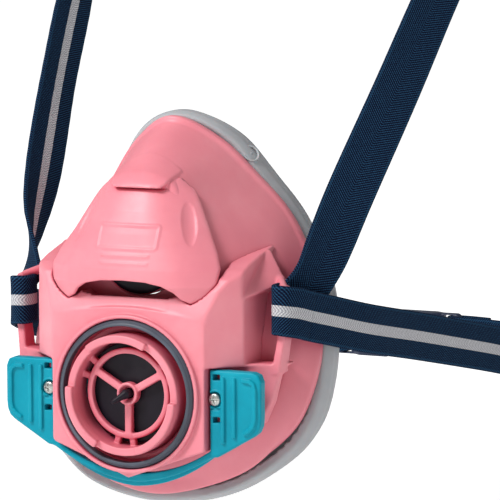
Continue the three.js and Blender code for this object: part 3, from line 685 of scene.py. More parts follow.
def shell_field(x, y, z):
    """Hollow dome with a flat front wall, a rim and the tab above the hood."""
    dome = dome_field(x, y, z)
    body = common(1.6, dome, SHELL_FRONT - y, y - sweep(z) - RIM_BACK)
    body = unite(0.45, body, rim_field(x, y, z))
    body = unite(0.35, body, tab_field(x, y, z))
    hollow = common(1.2, dome + SHELL_WALL, SHELL_FRONT + FRONT_WALL - y)
    return common(0.5, common(0.3, body, -hollow), *around_holes(x, z))


def add_shell():
    moulded("shell_moulding", shell_field, (-55, 7, -40), (55, 53, 90), 0.62,
            "pink_plastic", "shell")


# ---- soft facepiece

FACE_CLEAR = 0.35        # between the shell and the facepiece
FACE_WALL = 2.2
# Section of the sealing lip: distance outside the seal's outline and depth.
LIP_PATH = [(-4.2, 36.0), (-2.2, 38.4), (-1.3, 41.0), (-1.2, 44.0), (-1.9, 46.6), (-3.9, 48.4),
            (-7.2, 48.5), (-10.6, 46.9)]
LIP_HALF = 1.15
MARK_PLACE, MARK_FACES = (21.4, 48.9, 73.2), (0.68, -0.5, 0.53)      # mould mark


def facepiece_field(x, y, z):
    """Soft cup inside the shell, with the rolled lip that seals on the face."""
    depth = y - sweep(z)
    dome = dome_field(x, y, z)
    skirt = np.abs(dome + SHELL_WALL + FACE_CLEAR + FACE_WALL / 2) - FACE_WALL / 2
    front = SHELL_FRONT + FRONT_WALL + FACE_CLEAR
    cup = common(1.0, skirt, front - y, depth - 38.5)
    wall = common(1.0, dome + SHELL_WALL + FACE_CLEAR, slab(y, front, front + FACE_WALL))
    out = beyond_outline(x, z, SEAL_PLANE)
    lip = stroke_field(out, depth, LIP_PATH, LIP_HALF)
    line = common(0.1, np.abs(depth - 42.4) - 0.22, -out - 1.0)
    body = unite(1.6, unite(1.0, cup, wall), lip)
    body = common(0.2, body, RIM_BACK + 0.3 - depth - 40.0 * np.clip(-out - 5.5, 0.0, 1.0))
    body = body + 0.22 * np.clip(1.0 - np.maximum(line, 0.0) / 0.3, 0.0, 1.0)
    return common(0.6, body, *around_holes(x, z))


def surface_along(field, start, outward):
    """Where a line through start comes out of the solid."""
    steps = np.arange(4.0, -4.0, -0.05)
    line = np.array(start) + steps[:, None] * np.array(outward)
    inside = field(line[:, 0], line[:, 1], line[:, 2]) < 0.0
    return Vector(line[np.argmax(inside)])


def add_facepiece():
    moulded("facepiece_moulding", facepiece_field, (-57, 13, -44), (57, 68, 92), 0.75,
            "silicone", "facepiece")
    mark = turned("mould_mark", [(2.3, -0.4), (2.5, 0.22), (2.9, 0.22), (3.1, -0.4)], 64)
    dot = turned("mould_mark_dot", [(0.0, -0.3), (0.0, 0.14), (0.45, 0.05), (0.6, -0.3)], 24)
    outward = Vector(MARK_FACES).normalized()
    spot = surface_along(facepiece_field, MARK_PLACE, outward)
    turn = outward.to_track_quat("Y", "Z").to_matrix().to_4x4()
    for ring in (mark, dot):
        shift = Matrix.Translation((0.0, SEAL_PLANE * MM, 0.0))
        ring.data.transform(Matrix.Translation(frame_point(spot)) @ turn @ shift)
        finish_piece(ring, "silicone", [])


# ---- port housing

HOUSING_FACE, HOUSING_HALF = 2.3, 27.2
LIP_R = 25.5
GASKET_IN, GASKET_OUT = 21.9, 24.0
COLLAR_R, COLLAR_BORE = 19.5, 17.0
EAR_EDGE, EAR_EDGE_Y = 36.8, 11.4
BAR_IN, BAR_OUT = 45.6, 48.1
BAR_FRONT, BAR_BACK, BAR_TOP = 17.2, 23.2, 33.4

# Height of the arm's top face at each depth.
ARM_TOP = np.array([(0.0, 20.0), (2.3, 25.5), (5.7, 34.0), (8.1, 37.4), (12.0, 39.9), (16.5, 41.6),
                    (24.6, 43.8), (34.7, 45.9), (46.0, 47.0)])


def arm_top(y):
    return np.interp(y, ARM_TOP[:, 0], ARM_TOP[:, 1])


def housing_face_field(x, z):
    """Front outline of the housing."""
    ax = np.abs(x)
    sides = ax - HOUSING_HALF
    arch = (z - 27.9 + 0.0053 * ax ** 2) * 0.97
    wedge = (ax - HOUSING_HALF) * 0.3528 - (z + 16.9) * 0.9357
    block = common(1.2, sides, arch, wedge)
    return np.minimum(block, np.hypot(ax, z) - LIP_R)


def arm_field(ax, y, z):
    """Cheek beside the port and the arm that runs from it back along the dome."""
    chamfer = -plane_field(ax, y, (HOUSING_HALF, HOUSING_FACE), (EAR_EDGE, EAR_EDGE_Y))
    top = (z - arm_top(y)) * 0.8
    web = 0.62 * (ax - EAR_EDGE) - 0.463 * (y - EAR_EDGE_Y) + 0.633 * (z - 31.4)
    web = common(0.6, web, (y - 30.5 + 0.5 * (ax - 37.8)) * 0.9)
    side = np.minimum(ax - 36.6, web)
    arm = common(0.9, chamfer, top, side, ax - BAR_OUT, 9.5 - z, y - 46.0, 14.0 - ax,
                 HOUSING_FACE - y)
    roof = (z - 31.2 - 0.5 * (ax - EAR_EDGE)) * 0.9
    slot = common(0.6, EAR_EDGE + 0.1 * (y - EAR_EDGE_Y) - ax, roof, 10.2 - z)
    return common(0.5, arm, -slot)


def bar_field(ax, y, z):
    """Strap bar, and the short strut that joins its top to the back of the arm."""
    lean = np.clip((18.0 - z) / 9.0, 0.0, 1.0)
    middle = (BAR_IN + BAR_OUT) / 2
    path = [(middle, 6.0), (middle, BAR_TOP)]
    line = stroke_field(ax + 1.3 * lean, z, path, (BAR_OUT - BAR_IN) / 2 + 0.1)
    bar = common(0.7, line, BAR_FRONT - 1.2 * lean - y, y - BAR_BACK, 7.0 - z)
    strut = capsule(ax, y, z, (46.4, 20.4, 34.0), (42.6, 26.6, 35.6), 1.3, 1.6)
    return unite(0.6, bar, strut)


def wing_field(ax, y, z):
    """Plate behind the lever pad, from the bottom of the slot down to the chin."""
    outline = polygon_field(ax, z, [(22, 10.4), (46.8, 10.4), (46.2, 6.0), (44.2, -2.0),
                                    (41.0, -9.0), (33.0, -13.5), (22, -16.0)])
    front = 12.7 + 0.45 * np.maximum(ax - 37.0, 0.0) - y
    return common(0.8, outline, front, y - 20.5)


def outlet_field(ax, y, z):
    """Recess under the hood's mouth, which leads the air down and out."""
    plan = polygon_field(ax, z, [(-1, 27.6), (12.4, 27.6), (17.6, 31.2), (18.4, 38.0), (18.4, 60),
                                 (-1, 60)])
    return common(1.2, plan, 5.0 - y)


def housing_field(x, y, z):
    ax = np.abs(x)
    core = common(0.8, housing_face_field(x, z), HOUSING_FACE - y, y - 13.0)
    shelf = common(1.2, ax - 26.0, z - arm_top(y), 14.0 - z, HOUSING_FACE - y, y - 16.0)
    body = unite(0.8, core, shelf, arm_field(ax, y, z), wing_field(ax, y, z), bar_field(ax, y, z))
    radius = np.hypot(ax, z)
    body = unite(0.5, body, common(0.45, radius - LIP_R, 0.75 - y, y - 4.0))
    groove = np.maximum(np.abs(radius - (GASKET_IN + GASKET_OUT) / 2) - 1.25, y - 3.4)
    channel = common(0.5, radius - GASKET_IN + 0.1, y - 5.6)
    body = common(0.4, body, COLLAR_R + 0.3 - radius)
    body = common(0.3, body, -groove, -channel)
    pads = box_field(ax, y, z, (HOUSING_HALF + 0.05, -4.0, -40.0), (60.0, 12.6, 9.45), 0.2)
    body = common(0.4, body, -pads)
    body = common(0.9, body, -outlet_field(ax, y, z))
    under_hood = common(0.8, polygon_field(ax, z, HOOD_OUTLINE) - 0.3,
                        hood_front(ax, z) - 0.35 - y)
    body = common(0.3, body, -under_hood)
    return common(0.25, body, 0.12 - dome_body_field(x, y, z))


def dome_body_field(x, y, z):
    return common(1.6, dome_field(x, y, z), SHELL_FRONT - y)


def add_housing():
    moulded("port_housing_moulding", housing_field, (-50, -1, -28), (50, 47, 50), 0.5,
            "pink_plastic", "port_housing")


# ---- valve hood

# Front view of the right half of the hood, from the middle of its top round to its arch.
HOOD_OUTLINE = [(-1, 64.75), (8.5, 64.75), (9.9, 65.7), (11.6, 68.9), (13.4, 68.9), (16.0, 65.8),
                (19.4, 60.0), (22.4, 54.5), (25.0, 49.8), (27.9, 45.0), (29.7, 40.5),
                (29.2, 36.0), (26.4, 31.8), (21.8, 29.6), (18.9, 31.0), (17.0, 33.2),
                (13.5, 35.2), (8.0, 36.3), (-1, 36.7)]
# Height, depth of the ridge, half width and depth of the edge.
HOOD_ROWS = np.array([
    (26.0, 1.5, 22.0, 4.4), (29.5, 0.4, 24.5, 5.2), (35.0, -1.5, 28.8, 6.6), (40.0, -0.8, 30.2, 8.6),
    (45.0, 0.8, 28.4, 11.0), (51.0, 3.1, 25.0, 14.2), (58.0, 6.3, 21.3, 16.6), (65.0, 10.4, 17.2, 18.8),
    (72.0, 15.6, 14.2, 21.0), (76.0, 18.6, 13.0, 22.5)])
HOOD_WALL = 1.7
DIMPLE_X, DIMPLE_Z = 18.2, 54.2


def hood_front(ax, z):
    """Depth of the hood's outer surface."""
    ridge, half, edge = (np.interp(z, HOOD_ROWS[:, 0], HOOD_ROWS[:, k]) for k in (1, 2, 3))
    power = np.interp(z, [30.0, 50.0, 70.0], [2.9, 2.6, 2.3])
    depth = ridge + (edge - ridge) * np.clip(ax / half, 0.0, 1.3) ** power
    tilt = (ax - DIMPLE_X) * 0.94 + (z - DIMPLE_Z) * 0.33
    run = (z - DIMPLE_Z) * 0.94 - (ax - DIMPLE_X) * 0.33
    dimple = np.clip(1.0 - (tilt / 1.9) ** 2 - (run / 7.0) ** 2, 0.0, 1.0)
    return depth + 1.35 * np.sqrt(dimple + 1e-9) * dimple ** 0.25


def hood_relief(ax, z):
    """Plain raised badge and grip lines."""
    badge = np.abs(box_field(ax, 0.0 * ax, z - 50.2, (-10.5, -1, -3.6), (10.5, 1, 3.6), 0.9)) - 0.45
    lines = np.minimum(np.abs(z - 44.4), np.abs(z - 42.0)) - 0.4
    bars = np.maximum(lines, ax - 8.5)
    return 0.32 * np.clip(0.5 - np.minimum(badge, bars) / 0.5, 0.0, 1.0)


def hood_slope(ax, z):
    h = 0.2
    gx = (hood_front(ax + h, z) - hood_front(np.maximum(ax - h, 0.0), z)) / (2 * h)
    gz = (hood_front(ax, z + h) - hood_front(ax, z - h)) / (2 * h)
    return gx ** 2 + gz ** 2


def hood_field(x, y, z):
    ax, z = np.broadcast_arrays(np.abs(x), z)
    front = hood_front(ax, z)
    slope = np.sqrt(1.0 + np.clip(hood_slope(ax, z), 0.0, 4.0))
    outline = polygon_field(ax, z, HOOD_OUTLINE)
    outer = (front - hood_relief(ax, z) - y) / slope
    inner = (y - front - HOOD_WALL) / slope
    proud = np.interp(z, [56.0, 62.0, 66.0, 69.0], [7.0, 3.0, 1.0, 0.2])
    outer = soft_max(outer, dome_field(x, y, z) - proud, 1.2)
    return common(0.7, outer, outline, inner)


def add_hood():
    moulded("valve_hood_moulding", hood_field, (-32, -4, 27), (32, 22, 73), 0.42,
            "pink_plastic", "valve_hood", "hood_body")


# ---- filter port

LUG_ANGLES = (95, 208, 322)
LUG_R, LUG_HALF = 18.2, 34.0      # middle radius in mm, half angle in degrees
LUG_FACE, TUBE_FACE, COLLAR_BACK = -3.7, -1.6, 7.1
SPOKE_ANGLES = (30, 150, 270)
TIE_ANGLES = (141.5, 161.5, 255, 275, 18.5, 38.5)
HUB_R, STEM_HOLE = 3.65, 1.75


def around(x, z, degrees, radius):
    """Distance along the circle from a direction about the port's axis."""
    turn = np.arctan2(z, x) - math.radians(degrees)
    return np.abs((turn + np.pi) % (2 * np.pi) - np.pi) * radius


def radial_bar(k, x, z, degrees, half, inner, outer, web):
    """Flat bar of a half width that runs outwards from an axis along Y."""
    c, s = math.cos(math.radians(degrees)), math.sin(math.radians(degrees))
    along, across = x * c + z * s, z * c - x * s
    return common(k, np.abs(across) - half, slab(along, inner, outer), web)


def collar_field(x, y, z):
    """Bayonet tube with its lugs and the spoked seat of the inhalation valve."""
    radius = np.hypot(x, z)
    wall = np.abs(radius - (COLLAR_R + COLLAR_BORE) / 2) - (COLLAR_R - COLLAR_BORE) / 2
    body = common(0.5, wall, slab(y, TUBE_FACE, COLLAR_BACK))
    for angle in LUG_ANGLES:
        sector = around(x, z, angle, LUG_R) - math.radians(LUG_HALF) * LUG_R
        body = unite(0.3, body, common(0.6, wall, slab(y, LUG_FACE, 1.0), sector))
    web = slab(y, 2.6, 5.0)
    body = unite(0.5, body, common(0.5, np.abs(radius - 13.7) - 0.9, web))
    for angle in SPOKE_ANGLES:
        body = unite(0.6, body, radial_bar(0.5, x, z, angle, 1.2, 2.5, 13.5, web))
    for angle in TIE_ANGLES:
        tie = radial_bar(0.4, x, z, angle, 1.0, 14.0, 17.6, slab(y, 3.0, 5.0))
        body = unite(0.4, body, tie)
    hub = common(0.5, radius - HUB_R, slab(y, 1.9, 5.0))
    body = unite(0.5, body, hub)
    bore = radius - STEM_HOLE - 1.1 * np.clip((3.6 - y) / 1.7, 0.0, 1.0)
    return common(0.3, body, -bore)


def add_collar():
    moulded("bayonet_collar_moulding", collar_field, (-21, -5, -21), (21, 9, 21), 0.38,
            "pink_plastic", "bayonet_collar")


def add_gasket():
    corners = [(GASKET_IN, 3.2), (GASKET_OUT, 3.2), (GASKET_OUT, 1.7), (23.35, 0.85), (23.25, 0.95),
               (22.8, 0.25), (GASKET_IN, 0.0)]
    piece = turned("gasket_ring", rounded_profile(corners, 0.35), 192)
    finish_piece(piece, "grey_rubber", ["port_gasket"])


def inhalation_field(x, y, z):
    radius = np.hypot(x, z)
    dish = y - 0.0006 * radius ** 2
    disc = common(0.3, radius - 16.2, slab(dish, 5.35, 6.1))
    stem = common(0.3, radius - 1.4, slab(y, 0.6, 6.0))
    tail = capsule(x, y, z, (0.0, 0.9, 0.0), (-2.9, -1.7, -2.2), 1.35, 0.75)
    return unite(0.6, disc, stem, tail)


def add_inhalation_valve():
    moulded("inhalation_flap", inhalation_field, (-17, -3, -17), (17, 7, 17), 0.33,
            "black_rubber", "inhalation_valve", "inhalation_valve_body")


# ---- exhalation valve

SEAT_SPOKE_ANGLES = (90, 210, 330)


def seat_field(x, y, z):
    z = z - VALVE_OUT_Z
    radius = np.hypot(x, z)
    body = common(0.5, np.abs(radius - 12.75) - 1.15, slab(y, 12.2, 17.6))
    body = unite(0.3, body, common(0.3, np.abs(radius - 12.3) - 0.5, slab(y, 12.0, 13.5)))
    web = slab(y, 13.0, 15.0)
    body = unite(0.4, body, common(0.4, radius - 3.0, web))
    for angle in SEAT_SPOKE_ANGLES:
        body = unite(0.4, body, radial_bar(0.4, x, z, angle, 1.0, 2.4, 12.2, web))
    return common(0.3, body, 1.7 - radius)


def add_exhalation_valve():
    moulded("exhalation_valve_seat", seat_field, (-15, 11, 29), (15, 19, 60), 0.42,
            "pink_plastic", "exhalation_seat")
    corners = [(0.0, 10.7), (3.0, 10.7), (4.2, 11.0), (12.2, 10.9), (13.5, 11.2), (13.5, 11.8),
               (2.2, 11.9), (1.4, 12.6), (1.4, 17.2), (2.2, 17.5), (1.1, 19.6), (0.0, 19.6)]
    disc = turned("exhalation_flap", corners, 96, (0.0, 0.0, VALVE_OUT_Z))
    finish_piece(disc, "black_rubber", ["exhalation_valve"], "exhalation_valve_body")


# ---- press-to-test lever

LEVER_FACE, LEVER_BACK = 4.9, 8.8
SCREW_X, SCREW_Z = 29.6, -0.3
PAD = [(27.8, 9.0), (42.6, 9.0), (44.6, 8.2), (45.5, 6.0), (45.5, -5.6), (45.2, -8.2),
       (44.3, -10.2), (42.6, -11.6), (30.2, -18.9), (27.8, -19.2)]
RIBS = [[(32.6, -13.6), (32.6, 6.4)], [(36.4, -11.6), (36.4, 6.4)],
        [(39.6, 6.4), (41.8, 6.3), (43.1, 5.4), (43.6, 3.6), (43.6, -5.6), (43.0, -8.0),
         (41.6, -9.5), (40.2, -10.4)]]


def arc_between(start, middle, end, count=16):
    """Points on the parabola that leaves start and meets end, drawn towards middle."""
    t = np.linspace(0, 1, count)[:, None]
    a, b, c = (np.array(p, float) for p in (start, middle, end))
    return [tuple(p) for p in (1 - t) ** 2 * a + 2 * t * (1 - t) * b + t ** 2 * c]


def lever_field(x, y, z):
    """Two finger pads and the curved strip that joins them below the port."""
    ax = np.abs(x)
    pad = common(0.9, polygon_field(ax, z, PAD), LEVER_FACE - y, y - LEVER_BACK - 0.1)
    strip_outer = arc_between((30.5, -17.6), (14.0, -28.6), (-0.5, -28.9))
    strip_inner = arc_between((-0.5, -26.1), (14.0, -26.1), (27.8, -17.0))
    strip = polygon_field(ax, z, strip_outer + strip_inner)
    strip = common(0.6, strip, LEVER_FACE + 0.1 - y, y - LEVER_BACK)
    ledge_outer = arc_between((29.4, -18.4), (15.0, -30.2), (-0.5, -30.7))
    ledge_inner = arc_between((-0.5, -27.4), (14.0, -27.4), (28.2, -17.0))
    ledge = polygon_field(ax, z, ledge_outer + ledge_inner)
    ledge = common(0.5, ledge, 7.0 - y, y - LEVER_BACK)
    body = unite(0.4, pad, strip)
    body = unite(0.3, body, ledge)
    for path in RIBS:
        line = stroke_field(ax, z, path, 0.68)
        body = unite(0.5, body, common(0.4, line, slab(y, LEVER_FACE - 0.95, LEVER_FACE + 1.0)))
    spot = np.hypot(ax - SCREW_X, z - SCREW_Z)
    boss = common(0.3, np.abs(spot - 2.85) - 0.3, slab(y, LEVER_FACE - 0.3, LEVER_FACE + 1.0))
    body = unite(0.3, body, common(0.3, boss, 27.9 - ax))
    sink = common(0.2, spot - 2.55, y - 5.8)
    step = box_field(ax, y, z, (26.0, 0.0, -3.7), (31.2, LEVER_FACE + 0.45, -2.95), 0.1)
    upper = box_field(ax, y, z, (28.8, 0.0, 5.8), (31.4, 12.0, 7.7), 0.2)
    lower = box_field(ax, y, z, (28.8, 0.0, -7.8), (31.4, 12.0, -5.9), 0.2)
    spring = common(0.2, np.hypot(ax - 34.2, z - SCREW_Z) - 2.4, 6.5 - y)
    return common(0.25, body, -sink, -step, -upper, -lower, 1.5 - spot, -spring)


def add_lever():
    moulded("test_lever_moulding", lever_field, (-47, 3, -32), (47, 11, 10.5), 0.36,
            "teal_plastic", "test_lever", "test_lever_body")


def shutter_field(x, y, z):
    disc = common(0.4, np.hypot(x, z) - 14.5, slab(y, 7.6, 8.8))
    arms = box_field(x, y, z, (-27.5, 7.6, -3.0), (27.5, 8.8, 3.0), 0.3)
    rim = common(0.3, np.abs(np.hypot(x, z) - 13.2) - 0.5, slab(y, 8.0, 8.95))
    return unite(0.5, disc, arms, rim)


def add_shutter():
    moulded("shutter_plate", shutter_field, (-28.5, 6.5, -16), (28.5, 10.3, 16), 0.45,
            "teal_plastic", "shutter", "test_lever_body")


def screw_field(x, y, z):
    """Pan-head screw about its own axis, with a cross recess and a thread."""
    radius = np.hypot(x, z)
    dome = np.sqrt(radius ** 2 + (y - 7.6) ** 2) - 3.62
    head = common(0.25, radius - 2.0, dome, y - 5.5)
    shank = common(0.2, radius - 1.15, slab(y, 5.2, 15.5))
    thread = 0.13 * np.clip(np.sin(y * 2 * np.pi / 0.9 + np.arctan2(z, x)), -1, 1) * (y > 6.0)
    wide = np.maximum(np.abs(x) - 1.35, np.abs(z) - 0.27)
    tall = np.maximum(np.abs(z) - 1.35, np.abs(x) - 0.27)
    cross = common(0.1, np.minimum(wide, tall), y - 4.75)
    return common(0.08, unite(0.15, head, shank - thread), -cross)


def add_screws():
    for hand, side in HANDS:
        place = (side * SCREW_X, 0.0, SCREW_Z)
        points, faces = surface_net(screw_field, (-2.6, 3.6, -2.6), (2.6, 16.0, 2.6), 0.17)
        piece = make_object(f"pan_screw_{hand}", points + np.array(place), faces)
        finish_piece(piece, "zinc_steel", [f"lever_screw_{hand}"])


# ---- elastic harness
#
# The webbing of one side is a single band: from a folded end at the crown down to the
# strap bar, round the bar, back along the jaw and into the nape buckle. Each stop is
# (x, y, z, bearing, pitch): a place on its middle line, and the way its striped face
# looks, in degrees from +X towards -Y and then upwards.

STRAP_HALF, STRAP_THICK = 8.0, 1.5

CROWN_END = [(52.5, 150.6, 198.6, 180, -262), (44.0, 153.2, 200.2, 180, -266),
             (37.0, 154.0, 200.3, 180, -246), (34.6, 154.0, 202.6, 180, -182),
             (37.0, 154.0, 204.9, 180, -112), (43.5, 153.4, 204.2, 180, -76)]
HEAD_UPPER = [(60.0, 148.0, 195.0, 182, -60), (71.0, 138.0, 177.0, 190, -36),
              (72.4, 121.5, 152.0, 204, -14)]
HEAD_RIGHT = [(66.6, 100.6, 124.3, 222, -4), (61.6, 76.8, 93.7, 234, 0), (55.6, 50.5, 60.0, 240, 0),
              (53.0, 38.0, 43.0, 226, 0), (51.6, 33.0, 36.6, 212, 0), (49.6, 29.8, 32.0, 214, 0)]
HEAD_LEFT = [(69.0, 100.6, 125.3, 158, -4), (64.2, 77.0, 94.5, 157, 0), (59.4, 56.0, 63.0, 158, 0),
             (57.2, 45.4, 47.5, 186, 0), (53.8, 36.6, 37.0, 226, 0), (50.8, 30.6, 30.6, 246, 0)]
LOOP_RIGHT, LOOP_LEFT = 27.6, 26.0      # height of the loop on its bar
BAR_LOOP = [(47.8, 26.4, 0.3, 248, 0), (45.6, 24.9, 0.0, 228, 0), (44.25, 22.3, 0.0, 184, 0),
            (44.2, 18.4, 0.0, 176, 0), (45.1, 16.1, 0.0, 126, 0), (47.3, 15.6, 0.0, 84, 0),
            (49.4, 17.1, -0.4, 40, 0), (51.4, 20.8, -1.2, 20, 0)]
NECK = [(53.2, 26.4, -2.8, 17, 0), (56.3, 36.5, -5.4, 16, 0), (61.0, 53.0, -9.6, 14, 0),
        (66.2, 84.0, -16.0, 12, 0)]
NAPE = [(75.0, 122.0, 3.2, 10, 0), (79.6, 142.0, -1.4, 4, 0), (80.9, 154.0, -3.35, 0, 0),
        (80.9, 164.0, -4.6, 0, 0), (80.9, 176.0, -6.1, -2, 0), (76.6, 196.0, -8.2, -22, 0),
        (64.0, 214.0, -10.0, -48, 0), (47.0, 224.4, -10.9, -70, 0), (34.0, 226.8, -10.7, -84, 0)]
NAPE_Z = -10.6
NAPE_END = [(27.5, 226.9, NAPE_Z, -90, 0), (22.6, 226.9, NAPE_Z, -70, 0),
            (20.8, 229.0, NAPE_Z, 0, 0), (22.6, 231.2, NAPE_Z, 70, 0),
            (28.0, 231.5, NAPE_Z, 90, 0), (37.0, 229.6, NAPE_Z, 98, 0)]


def lifted(stops, height):
    return [(x, y, z + height, bearing, pitch) for x, y, z, bearing, pitch in stops]


def direction(bearing, pitch):
    b, p = math.radians(bearing), math.radians(pitch)
    return np.array([math.cos(b) * math.cos(p), -math.sin(b) * math.cos(p), math.sin(p)])


def centripetal(points, per_span):
    """Centripetal Catmull-Rom curve, which never overshoots, at even steps per span."""
    p = [np.array(q, float) for q in points]
    p = [2 * p[0] - p[1]] + p + [2 * p[-1] - p[-2]]
    out = []
    for k in range(1, len(p) - 2):
        t = [0.0]
        for a, b in zip(p[k - 1:k + 2], p[k:k + 3]):
            t.append(t[-1] + max(np.linalg.norm(b[:3] - a[:3]), 1e-6) ** 0.5)
        for s in np.linspace(t[1], t[2], per_span, endpoint=False):
            a1 = [(p[k - 1 + i] * (t[i + 1] - s) + p[k + i] * (s - t[i])) / (t[i + 1] - t[i])
                  for i in range(3)]
            b1 = [(a1[i] * (t[i + 2] - s) + a1[i + 1] * (s - t[i])) / (t[i + 2] - t[i])
                  for i in range(2)]
            out.append((b1[0] * (t[2] - s) + b1[1] * (s - t[1])) / (t[2] - t[1]))
    out.append(p[-2])
    return np.array(out)


# Half of the band's section: across, and height over its middle plane as a share.
EDGE_SECTION = [(1.0, 0.0), (0.992, 0.55), (0.965, 0.92), (0.90, 1.0), (0.70, 0.93), (0.45, 0.92),
                (0.22, 0.93), (0.0, 0.93)]


def band_section():
    top = EDGE_SECTION + [(-u, v) for u, v in EDGE_SECTION[-2::-1]]
    bottom = [(-u, -v) for u, v in EDGE_SECTION[1:]] + [(u, -v) for u, v in EDGE_SECTION[-2:0:-1]]
    return np.array(top + bottom), len(top)


def even_stations(track, spacing):
    """Lengths along a dense track of stops, and stations a constant distance apart on it."""
    steps = np.linalg.norm(np.diff(track[:, :3], axis=0), axis=1)
    length = np.concatenate([[0], np.cumsum(steps)])
    at = np.linspace(0, length[-1], max(int(length[-1] / spacing), 8))
    return length, at, np.stack([np.interp(at, length, track[:, k]) for k in range(5)], 1)


def band_mesh(name, track, at, side):
    """Woven band along stations of (x, y, z, bearing, pitch), with its weave UVs in mm."""
    centre = track[:, :3]
    along = np.gradient(centre, axis=0)
    along /= np.linalg.norm(along, axis=1)[:, None]
    face = np.array([direction(b, p) for b, p in track[:, 3:]])
    face -= (face * along).sum(1)[:, None] * along
    face /= np.linalg.norm(face, axis=1)[:, None]
    across = np.cross(along, face)
    section, top = band_section()
    n, rows = len(section), len(track)
    wave = 1.0 + 0.05 * np.sin(at * 2 * np.pi / 0.9)
    points = (centre[:, None] + across[:, None] * (section[:, 0] * STRAP_HALF)[None, :, None]
              + face[:, None] * (section[None, :, 1] * wave[:, None] * STRAP_THICK / 2)[..., None])
    points = points.reshape(-1, 3) * [side, 1, 1]
    k = np.arange(n)
    m = (k + 1) % n
    striped = (k < top) & (m < top) & (m > 0)
    us, um = section[k, 0] * STRAP_HALF, section[m, 0] * STRAP_HALF
    shift = np.where(striped, FACE_SHIFT, 0.0)
    row = np.arange(rows - 1)[:, None] * n
    quads = np.stack([row + k, row + m, row + n + m, row + n + k], 2).reshape(-1, 4)
    u = np.stack([us, um, um, us], 1) + shift[:, None]
    v = np.stack([at[:-1], at[:-1], at[1:], at[1:]], 1)
    uvs = np.stack(np.broadcast_arrays(u[None], v[:, None]), 3).reshape(-1, 4, 2)
    if side < 0:
        quads, uvs = quads[:, ::-1], uvs[:, ::-1]
    piece = make_object(name, points, quads)
    layer = piece.data.uv_layers.new(name="weave")
    layer.data.foreach_set("uv", uvs.reshape(-1).astype(np.float32))
    close_ends(piece.data)
    return piece


def close_ends(mesh):
    work = bmesh.new()
    work.from_mesh(mesh)
    border = [e for e in work.edges if e.is_boundary]
    bmesh.ops.holes_fill(work, edges=border, sides=0)
    bmesh.ops.recalc_face_normals(work, faces=work.faces)
    work.to_mesh(mesh)
    work.free()
    mesh.shade_smooth()


def add_webbing():
    per_span = 24
    sides = (("right", 1, HEAD_RIGHT, LOOP_RIGHT), ("left", -1, HEAD_LEFT, LOOP_LEFT))
    for hand, side, head, height in sides:
        before = CROWN_END + HEAD_UPPER + head
        stops = before + lifted(BAR_LOOP + NECK, height) + NAPE + NAPE_END
        track = centripetal(stops, per_span)
        length, at, even = even_stations(track, 0.8)
        first = np.searchsorted(at, length[len(before) * per_span])
        second = np.searchsorted(at, length[(len(before) + len(BAR_LOOP)) * per_span])
        for name, a, b in ((f"head_strap_{hand}", 0, first), (f"strap_loop_{hand}", first, second),
                           (f"neck_strap_{hand}", second, len(at) - 1)):
            piece = band_mesh(f"webbing_{name}", even[a:b + 1], at[a:b + 1], side)
            finish_piece(piece, "navy_webbing", [name])


SLIDER_CENTRE, SLIDER_PITCH = (80.9, 164.0, -4.6), math.radians(7.1)


def slider_field(x, y, z):
    """Slider about its own centre, the webbing running along Y."""
    frame = box_field(x, y, z, (-2.6, -7.0, -11.5), (2.6, 7.0, 11.5), 1.2)
    grips = 0.35 * np.clip(np.cos(y * 2 * np.pi / 2.2), 0.0, 1.0) * (np.abs(z) > 7.0)
    window = box_field(x, y, z, (-1.4, -9.0, -8.6), (1.4, 9.0, 8.6), 0.3)
    gate = box_field(x, y, z, (0.6, -3.4, -8.4), (4.0, 3.4, 8.4), 0.5)
    return common(0.35, frame + grips * (np.abs(x) > 1.5), -window, -gate)


def add_sliders():
    c, s = math.cos(SLIDER_PITCH), math.sin(SLIDER_PITCH)
    turn = np.array([[1, 0, 0], [0, c, -s], [0, s, c]])
    points, faces = surface_net(slider_field, (-3.4, -8, -12.5), (3.4, 8, 12.5), 0.36)
    placed = points @ turn + np.array(SLIDER_CENTRE)
    for hand, side in HANDS:
        order = faces if side > 0 else faces[:, ::-1]
        piece = make_object(f"slider_frame_{hand}", placed * [side, 1, 1], order)
        finish_piece(piece, "navy_plastic", [f"strap_slider_{hand}"], f"slider_{hand}_body")


CRADLE_Y, CRADLE_Z = 154.0, 206.35


def cradle_field(x, y, z):
    """Arched plate with two windows and a slot at each end for the webbing."""
    ax, across, up = np.abs(x), y - CRADLE_Y, z - CRADLE_Z + 0.0026 * x ** 2
    plan = box_field(ax, across, 0.0 * up, (-40.0, -19.6, -1), (40.0, 19.6, 1), 7.5)
    plate = common(0.7, plan, np.abs(up) - 1.3)
    raised = common(0.4, np.abs(plan + 1.6) - 0.9, slab(up, 0.0, 1.75))
    windows = box_field(ax, np.abs(across), 0.0 * up, (-24.0, 4.2, -2), (24.0, 15.2, 2), 2.5)
    slots = box_field(ax, across, 0.0 * up, (32.6, -9.4, -2), (36.4, 9.4, 2), 1.2)
    ribs = common(0.3, np.abs(across) - 0.7, ax - 26.0, slab(up, 0.0, 2.0))
    body = unite(0.5, plate, raised, ribs)
    return common(0.5, body, -windows, -slots)


def add_cradle():
    moulded("crown_cradle_plate", cradle_field, (-42, 130, 199), (42, 178, 210), 0.6,
            "navy_plastic", "crown_cradle")


BUCKLE_Y, BUCKLE_HALF = 229.0, 9.3


